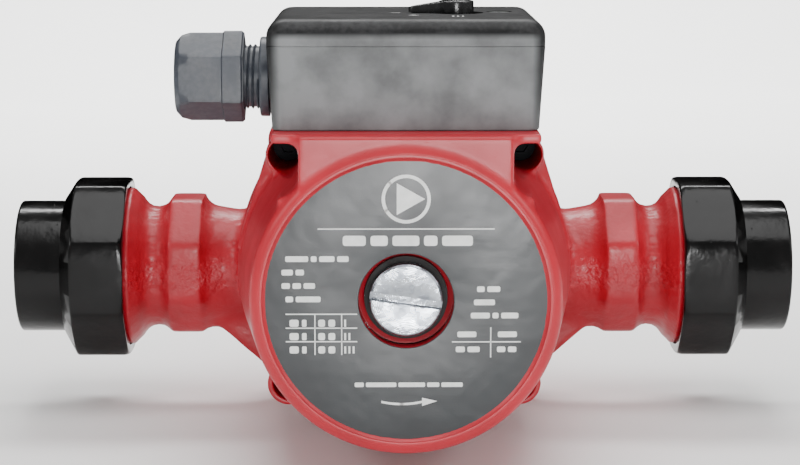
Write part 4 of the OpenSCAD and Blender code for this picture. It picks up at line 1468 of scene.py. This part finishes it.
@dataclass
class TerminalBox:
    """The black box on the platform, its lid and the speed selector.

    Attributes:
        corner: radius of the upright edges.
        wall: wall thickness.
        floor: thickness of the floor.
        edge: radius of the lid's top edge.
        taper: how much narrower the box is at its foot.
        dish_r: radius of the dish round the selector.
        dish_depth: depth of that dish.
    """

    corner: float = 4.0
    wall: float = 2.2
    floor: float = 2.5
    edge: float = 4.6
    taper: float = 2.6
    dish_r: float = 7.5
    dish_depth: float = 1.0

    def build(self) -> None:
        """Makes the lower box, the lid, its catch and the selector."""
        low, high = box_mm("terminal_base")
        _, lid_high = box_mm("terminal_lid")
        self.half_w = high.x - CENTRE_X
        self.half_d = (high.y - low.y) / 2
        self.mid_y = (high.y + low.y) / 2
        self.floor_z = low.z
        self.base_h = high.z - low.z
        self.top = lid_high.z - low.z
        self.where = upright_place(CENTRE_X, self.mid_y, self.floor_z)
        self.knob = joint_axis("selector_turn") - Vector((CENTRE_X, self.mid_y, self.floor_z))
        self.base()
        self.lid()
        self.selector()

    def loop(self, inset: float, z: float, corner: float) -> list[tuple[float, float, float]]:
        """One loop of the box.

        Args:
            inset: how far it lies inside the widest loop.
            z: its height over the floor.
            corner: radius of its corners.

        Returns:
            Its points.
        """
        flat = rounded_loop(self.half_w - inset, self.half_d - inset, max(corner, 0.4))
        return [(x, y, z) for x, y in flat]

    def base(self) -> None:
        """Makes the lower box as a tapered tray with a softened foot and rim."""
        foot = self.taper / 2
        inner = foot + self.wall
        stack = [
            self.loop(foot + 0.5, 0.0, self.corner), self.loop(foot + 0.1, 0.25, self.corner),
            self.loop(foot, 0.7, self.corner), self.loop(0.0, self.base_h - 0.45, self.corner),
            self.loop(0.03, self.base_h - 0.1, self.corner), self.loop(0.14, self.base_h, self.corner),
            self.loop(inner - 0.3, self.base_h, self.corner - 1),
            self.loop(inner, self.base_h - 0.4, self.corner - 1),
            self.loop(inner, self.floor + 0.6, self.corner - 1),
            self.loop(inner + 0.6, self.floor, self.corner - 1.4),
        ]
        dress(lofted("terminal_box_tray", stack, self.where), "black_plastic", "pump", "terminal_base")
        screw_low, screw_high = box_mm("lid_screw")
        x = (screw_low.x + screw_high.x) / 2 - CENTRE_X
        y = (screw_low.y + screw_high.y) / 2 - self.mid_y
        outline = rounded([(2.0, 5.0, 0), (3.5, self.floor, 0), (3.3, self.base_h, 0.3),
                           (2.0, self.base_h, 0.2)])
        spot = self.where @ Matrix.Translation((x, y, 0))
        dress(turned("lid_screw_post", outline, spot, 48), "black_plastic", "pump")

    def lid(self) -> None:
        """Makes the lid with its round edge, the selector dish and the screw recess."""
        top, rim = self.top, self.base_h
        inner = self.taper / 2 + self.wall
        roof = top - 2.8
        stack = [self.loop(inner, roof, self.corner - 1), self.loop(inner, rim + 0.3, self.corner - 1),
                 self.loop(inner - 0.9, rim + 0.1, self.corner - 1), self.loop(0.12, rim, self.corner),
                 self.loop(0.0, rim + 0.1, self.corner)]
        steps = 8
        for k in range(steps + 1):
            angle = math.pi / 2 * k / steps
            stack.append(self.loop(self.edge * (1 - math.cos(angle)),
                                   top - self.edge + self.edge * math.sin(angle),
                                   self.corner - 0.6 * self.edge * (1 - math.cos(angle))))
        lid = lofted("terminal_box_lid", stack, self.where)
        screw_low, screw_high = box_mm("lid_screw")
        screw_x = (screw_low.x + screw_high.x) / 2 - CENTRE_X
        screw_y = (screw_low.y + screw_high.y) / 2 - self.mid_y
        head_r = (screw_high.x - screw_low.x) / 2
        tools = []
        for radius, x, y, depth in ((self.dish_r, self.knob.x, self.knob.y, self.dish_depth),
                                    (2.45, self.knob.x, self.knob.y, 6.0),
                                    (head_r + 0.4, screw_x, screw_y, 2.4)):
            spot = self.where @ Matrix.Translation((x, y, 0))
            outline = rounded([(0, top - depth, 0), (radius, top - depth, 0.2), (radius, top + 1, 0),
                               (0, top + 1, 0)], 3)
            tools.append(turned("recess_cutter", outline, spot, 96))
        cut_away(lid, tools, 30)
        dress(lid, "black_plastic", "lid", "terminal_lid")
        self.catch(rim)
        self.position_marks(top)

    def catch(self, rim: float) -> None:
        """Makes the small catch on the right side of the lid.

        Args:
            rim: height of the lid's lower edge.
        """
        reach = box_mm("terminal_lid")[1].x - CENTRE_X - self.half_w
        loops = []
        for x, shrink in ((-0.4, 0.0), (reach * 0.6, 0.15), (reach * 0.9, 0.5), (reach, 1.0)):
            outline = rounded([(0.2 + shrink, 0.2 + shrink, 0.5), (3.8 - shrink, 0.2 + shrink, 0.5),
                               (3.8 - shrink, 2.9 - shrink, 0.5), (0.2 + shrink, 2.9 - shrink, 0.5)])
            loops.append([(self.half_w + x, y, rim + z) for y, z in outline])
        dress(lofted("lid_catch", loops, self.where), "black_plastic", "lid")

    def position_marks(self, top: float) -> None:
        """Makes the one, two and three raised bars that name the selector's positions.

        Args:
            top: height of the lid's top over the box floor.
        """
        verts, faces = [], []
        for step in range(3):
            angle = math.pi + math.radians(45 * step)
            out = Vector((math.cos(angle), math.sin(angle), 0))
            aside = Vector((-out.y, out.x, 0))
            for mark in range(step + 1):
                middle = Vector((self.knob.x, self.knob.y, 0)) + out * 16.5
                middle += aside * 1.3 * (mark - step / 2)
                corners = [middle + out * a + aside * b
                           for a, b in ((-1.2, -0.28), (1.2, -0.28), (1.2, 0.28), (-1.2, 0.28))]
                first = len(verts)
                for z in (top - 0.08, top + 0.02):
                    verts.extend(self.where @ Vector((p.x, p.y, z)) for p in corners)
                faces.extend([[first, first + 1, first + 2, first + 3],
                              [first + 4, first + 5, first + 6, first + 7]])
                faces.extend([first + k, first + (k + 1) % 4, first + 4 + (k + 1) % 4, first + 4 + k]
                             for k in range(4))
        dress(make_object("selector_position_marks", verts, faces), "label_ink", "lid")

    def selector(self) -> None:
        """Makes the selector: a round hub and a narrower pointer whose top slopes down to its tip."""
        low, high = box_mm("speed_knob")
        hub_r = (high.y - low.y) / 2
        reach = self.knob.x + CENTRE_X - low.x
        tip_r, root_r = 1.5, hub_r - 0.75
        top = high.z - self.floor_z
        foot = self.top - self.dish_depth + 0.2
        stem_low = low.z - self.floor_z
        lean = math.acos((root_r - tip_r) / (reach - tip_r))
        turns = [-(math.pi - lean) + 2 * (math.pi - lean) * k / 32 for k in range(33)]
        ends = [math.pi - lean + 2 * lean * k / 12 for k in range(13)]
        outline = [(root_r, a, 0.0) for a in turns] + [(tip_r, a, tip_r - reach) for a in ends]
        loops = []
        for t, inset in ((0.0, 0.15), (0.05, 0.0), (0.82, 0.0), (0.93, 0.1), (0.98, 0.28),
                         (1.0, 0.55)):
            ring = []
            for radius, angle, shift in outline:
                x = shift + (radius - inset) * math.cos(angle)
                y = (radius - inset) * math.sin(angle)
                slope = min(max((-x - hub_r * 0.6) / (reach - hub_r * 0.6), 0), 1)
                lower = foot + (1.0 if x < -hub_r else 0.0)
                ring.append((x, y, lower + t * (top - 2.0 * slope ** 1.3 - lower)))
            loops.append(ring)
        spot = self.where @ Matrix.Translation((self.knob.x, self.knob.y, 0))
        dress(lofted("selector_pointer", loops, spot, 40), "black_plastic", "selector",
              worn="rubbed_black_plastic")
        outline = rounded([(0, stem_low, 0), (2.4, stem_low, 0.2), (2.4, foot, 0), (hub_r, foot, 0.15),
                           (hub_r, top - 0.35, 0.5), (hub_r - 1.2, top - 0.1, 0.3),
                           (0, top - 0.1, 0)], 4)
        dress(turned("selector_hub", outline, spot, 96), "black_plastic", "selector", "speed_knob",
              worn="rubbed_black_plastic")


@dataclass
class CableGland:
    """The cable gland on the left of the terminal box.

    Attributes:
        pitch: pitch of the gland's thread.
        collar_t: thickness of the collar against the box.
        corner: how softly the nut's flats meet.
    """

    pitch: float = 1.41
    collar_t: float = 2.6
    corner: float = 0.09

    def build(self) -> None:
        """Makes the threaded body and the dome nut."""
        self.where = gland_place()
        body_low, body_high = box_mm("gland_body")
        nut_low, nut_high = box_mm("gland_nut")
        seal_low, seal_high = box_mm("gland_seal")
        bore = (seal_high.z - seal_low.z) / 2
        inner, outer = CENTRE_X - body_high.x, CENTRE_X - body_low.x
        collar_r = (body_high.z - body_low.z) / 2
        start, end = CENTRE_X - nut_high.x, CENTRE_X - nut_low.x
        across = nut_high.y - nut_low.y
        thread_r = 8.9
        collar_z = start - 4.3 - self.collar_t
        outline = rounded([
            (bore, inner, 0.2), (thread_r - 0.6, inner, 0.3), (thread_r - 0.6, collar_z, 0.2),
            (collar_r, collar_z, 0.3), (collar_r, collar_z + self.collar_t, 0.7),
            (thread_r - 0.6, collar_z + self.collar_t, 0.3), (thread_r - 0.6, outer, 0.4),
            (bore, outer, 0.2)])
        piece = turned("gland_body_moulded", outline, self.where, 120)
        dress(piece, "grey_plastic", "pump", "gland_body")
        Thread("gland_thread", thread_r, 0.34, self.pitch, collar_z + self.collar_t,
               outer - collar_z - self.collar_t, self.where).build("grey_plastic", "pump")
        self.nut(start, end, across, thread_r)

    def nut(self, start: float, end: float, across: float, thread_r: float) -> None:
        """Makes the dome nut: six flats, a shallow step and a rounded outer end.

        Args:
            start: its inner end along the gland.
            end: its outer end.
            across: width across flats.
            thread_r: radius of the thread it runs on.
        """
        corner_r = across / 2 / math.cos(math.radians(30))
        length = end - start
        entry = 5.2
        outline = rounded([
            (thread_r + 0.05, start, 0.3), (corner_r - 0.5, start, 0.4), (corner_r, start + 0.7, 0.5),
            (corner_r, start + 5.4, 0.3), (corner_r - 0.45, start + 5.9, 0.3),
            (corner_r - 0.45, end - 4.0, 1.2), (corner_r - 1.3, end - 1.5, 1.0),
            (corner_r - 3.0, end, 0.9), (entry, end, 0.5), (entry, start + 7.3, 0.3),
            (thread_r + 0.05, start + 7.1, 0.3)])

        edge = flats(across, 6, self.corner, 0)
        inset = flats(across - 0.9, 6, self.corner, 0)

        def two_step(radius: float, angle: float) -> float:
            """Narrower flats beyond the step, found by their smaller corner radius."""
            return edge(radius, angle) if radius > corner_r - 0.2 else inset(radius, angle)

        piece = turned("gland_dome_nut", outline, self.where, 216, two_step)
        dress(piece, "grey_plastic", "gland_cap", "gland_nut")
        LOG.info("gland nut is %.1f mm long", length)


def dress_kept_nodes() -> None:
    """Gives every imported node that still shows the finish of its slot."""
    slots = {entry["node"]: entry["material_slot"] for entry in frame["record"]["subparts"]}
    for name, obj in frame["nodes"].items():
        if obj.hide_render:
            continue
        obj.data.materials.clear()
        obj.data.materials.append(MATERIALS[slots[name]])
        LOG.info("kept node %s: %s", name, slots[name])


# ---------------------------------------------------------------------------------------------
# Studio
# ---------------------------------------------------------------------------------------------


@dataclass
class Studio:
    """A pale seamless floor, soft lights and the camera.

    Attributes:
        distance: from the camera to the pipe axis, in metres.
        height: of the camera over the pipe axis.
        aim: height over the pipe axis that it looks at.
        lens: focal length in millimetres for a 36 mm wide sensor.
        aside: how far the camera stands to the left of where it looks.
        off_centre: how far left of the pump's centre it looks.
        floor_reach: how far the floor runs to the sides and the front, in metres.
        bend: radius of the sweep behind the object.
    """

    distance: float = 0.692
    height: float = 0.116
    aim: float = 0.010
    lens: float = 103.9
    aside: float = 0.0049
    off_centre: float = 0.0009
    floor_reach: float = 14.0
    bend: float = 1.2

    def build(self) -> None:
        """Makes the floor, the lights and the camera."""
        self.floor()
        self.flag()
        middle = Vector((CENTRE_X * MM, -0.04, 0.0))
        self.light("front_lamp", middle + Vector((0.03, -0.80, 0.0)), middle, 0.22, 4.4)
        self.light("top_softbox", middle + Vector((0.05, -0.25, 1.1)), middle, 0.9, 9)
        self.light("left_softbox", middle + Vector((-0.9, -0.5, 0.6)), middle, 0.5, 3)
        self.light("right_softbox", middle + Vector((0.9, -0.4, 0.6)), middle, 0.5, 3)
        self.light("backdrop_lamp", middle + Vector((0.0, 0.9, 1.1)),
                   middle + Vector((0.0, 1.6, 0.2)), 0.9, 58)
        world = bpy.data.worlds.new("pale_room")
        world.use_nodes = True
        world.node_tree.nodes["Background"].inputs["Color"].default_value = (1, 1, 1, 1)
        world.node_tree.nodes["Background"].inputs["Strength"].default_value = 0.35
        bpy.context.scene.world = world
        self.camera()

    def floor(self) -> None:
        """Makes a floor that rises behind the object in one smooth sweep."""
        base = CAD_BOX[0].z - 0.0004
        bend, reach = self.bend, self.floor_reach
        line = [(-reach, base), (1.0, base)]
        line += [(1.0 + bend * math.sin(a), base + bend * (1 - math.cos(a)))
                 for a in (math.pi / 2 * k / 24 for k in range(1, 25))]
        line.append((1.0 + bend, base + 6.0))
        verts = [(x, y, z) for y, z in line for x in (-reach, reach)]
        faces = [[2 * k, 2 * k + 1, 2 * k + 3, 2 * k + 2] for k in range(len(line) - 1)]
        mesh = bpy.data.meshes.new("seamless_floor")
        mesh.from_pydata(verts, [], faces)
        mesh.shade_smooth()
        sweep = link_object("seamless_floor", mesh)
        paper = Finish("matt_white_paper", "F4F4F3", "F1F1F0", smooth=0.8, rough=0.9,
                       patch_mm=200, grain_mm=2.0, relief_mm=0.0)
        mesh.materials.append(paper.build())

    def flag(self) -> None:
        """Makes a black card behind the object that only reflections see."""
        y, low, high, half = 0.30, CAD_BOX[0].z + 0.03, 0.42, 0.6
        corners = [(CENTRE_X * MM + x, y, z) for x, z in
                   ((-half, low), (half, low), (half, high), (-half, high))]
        mesh = bpy.data.meshes.new("black_flag")
        mesh.from_pydata(corners, [], [(0, 1, 2, 3)])
        card = link_object("black_flag", mesh)
        mesh.materials.append(Finish("black_flock", "020202", "030303", smooth=0.9, rough=1.0,
                                     patch_mm=50, relief_mm=0.0, gloss=0.0).build())
        card.visible_camera = card.visible_diffuse = card.visible_shadow = False

    def light(self, name: str, spot: Vector, target: Vector, size: float, power: float) -> None:
        """Adds a square soft light.

        Args:
            name: name of the light.
            spot: where it stands, in metres.
            target: the point that it faces.
            size: its side.
            power: its power in watts.
        """
        lamp = bpy.data.lights.new(name, "AREA")
        lamp.size = size
        lamp.energy = power
        obj = bpy.data.objects.new(name, lamp)
        obj.location = spot
        obj.rotation_euler = (target - spot).to_track_quat("-Z", "Y").to_euler()
        bpy.context.scene.collection.objects.link(obj)

    def camera(self) -> None:
        """Adds the camera, a little above the pump and in front of it."""
        data = bpy.data.cameras.new("camera")
        data.lens = self.lens
        data.sensor_width = 36
        obj = bpy.data.objects.new("camera", data)
        centre = CENTRE_X * MM - self.off_centre
        obj.location = (centre - self.aside, -self.distance, self.height)
        gaze = Vector((self.aside, self.distance, self.aim - self.height))
        obj.rotation_euler = gaze.to_track_quat("-Z", "Y").to_euler()
        bpy.context.scene.collection.objects.link(obj)
        bpy.context.scene.camera = obj


def main() -> None:
    logging.basicConfig(level=logging.INFO, format="%(name)s %(message)s")
    MATERIALS.update({slot: finish.build() for slot, finish in finishes().items()})
    assemblies = [PumpBody(), Union(Side.INLET), Union(Side.OUTLET), Motor(), NameplatePrint(),
                  TerminalBox(), CableGland()]
    for assembly in assemblies:
        assembly.build()
        LOG.info("built %s", type(assembly).__name__)
    dress_kept_nodes()
    Studio().build()


if __name__ == "__main__":
    main()
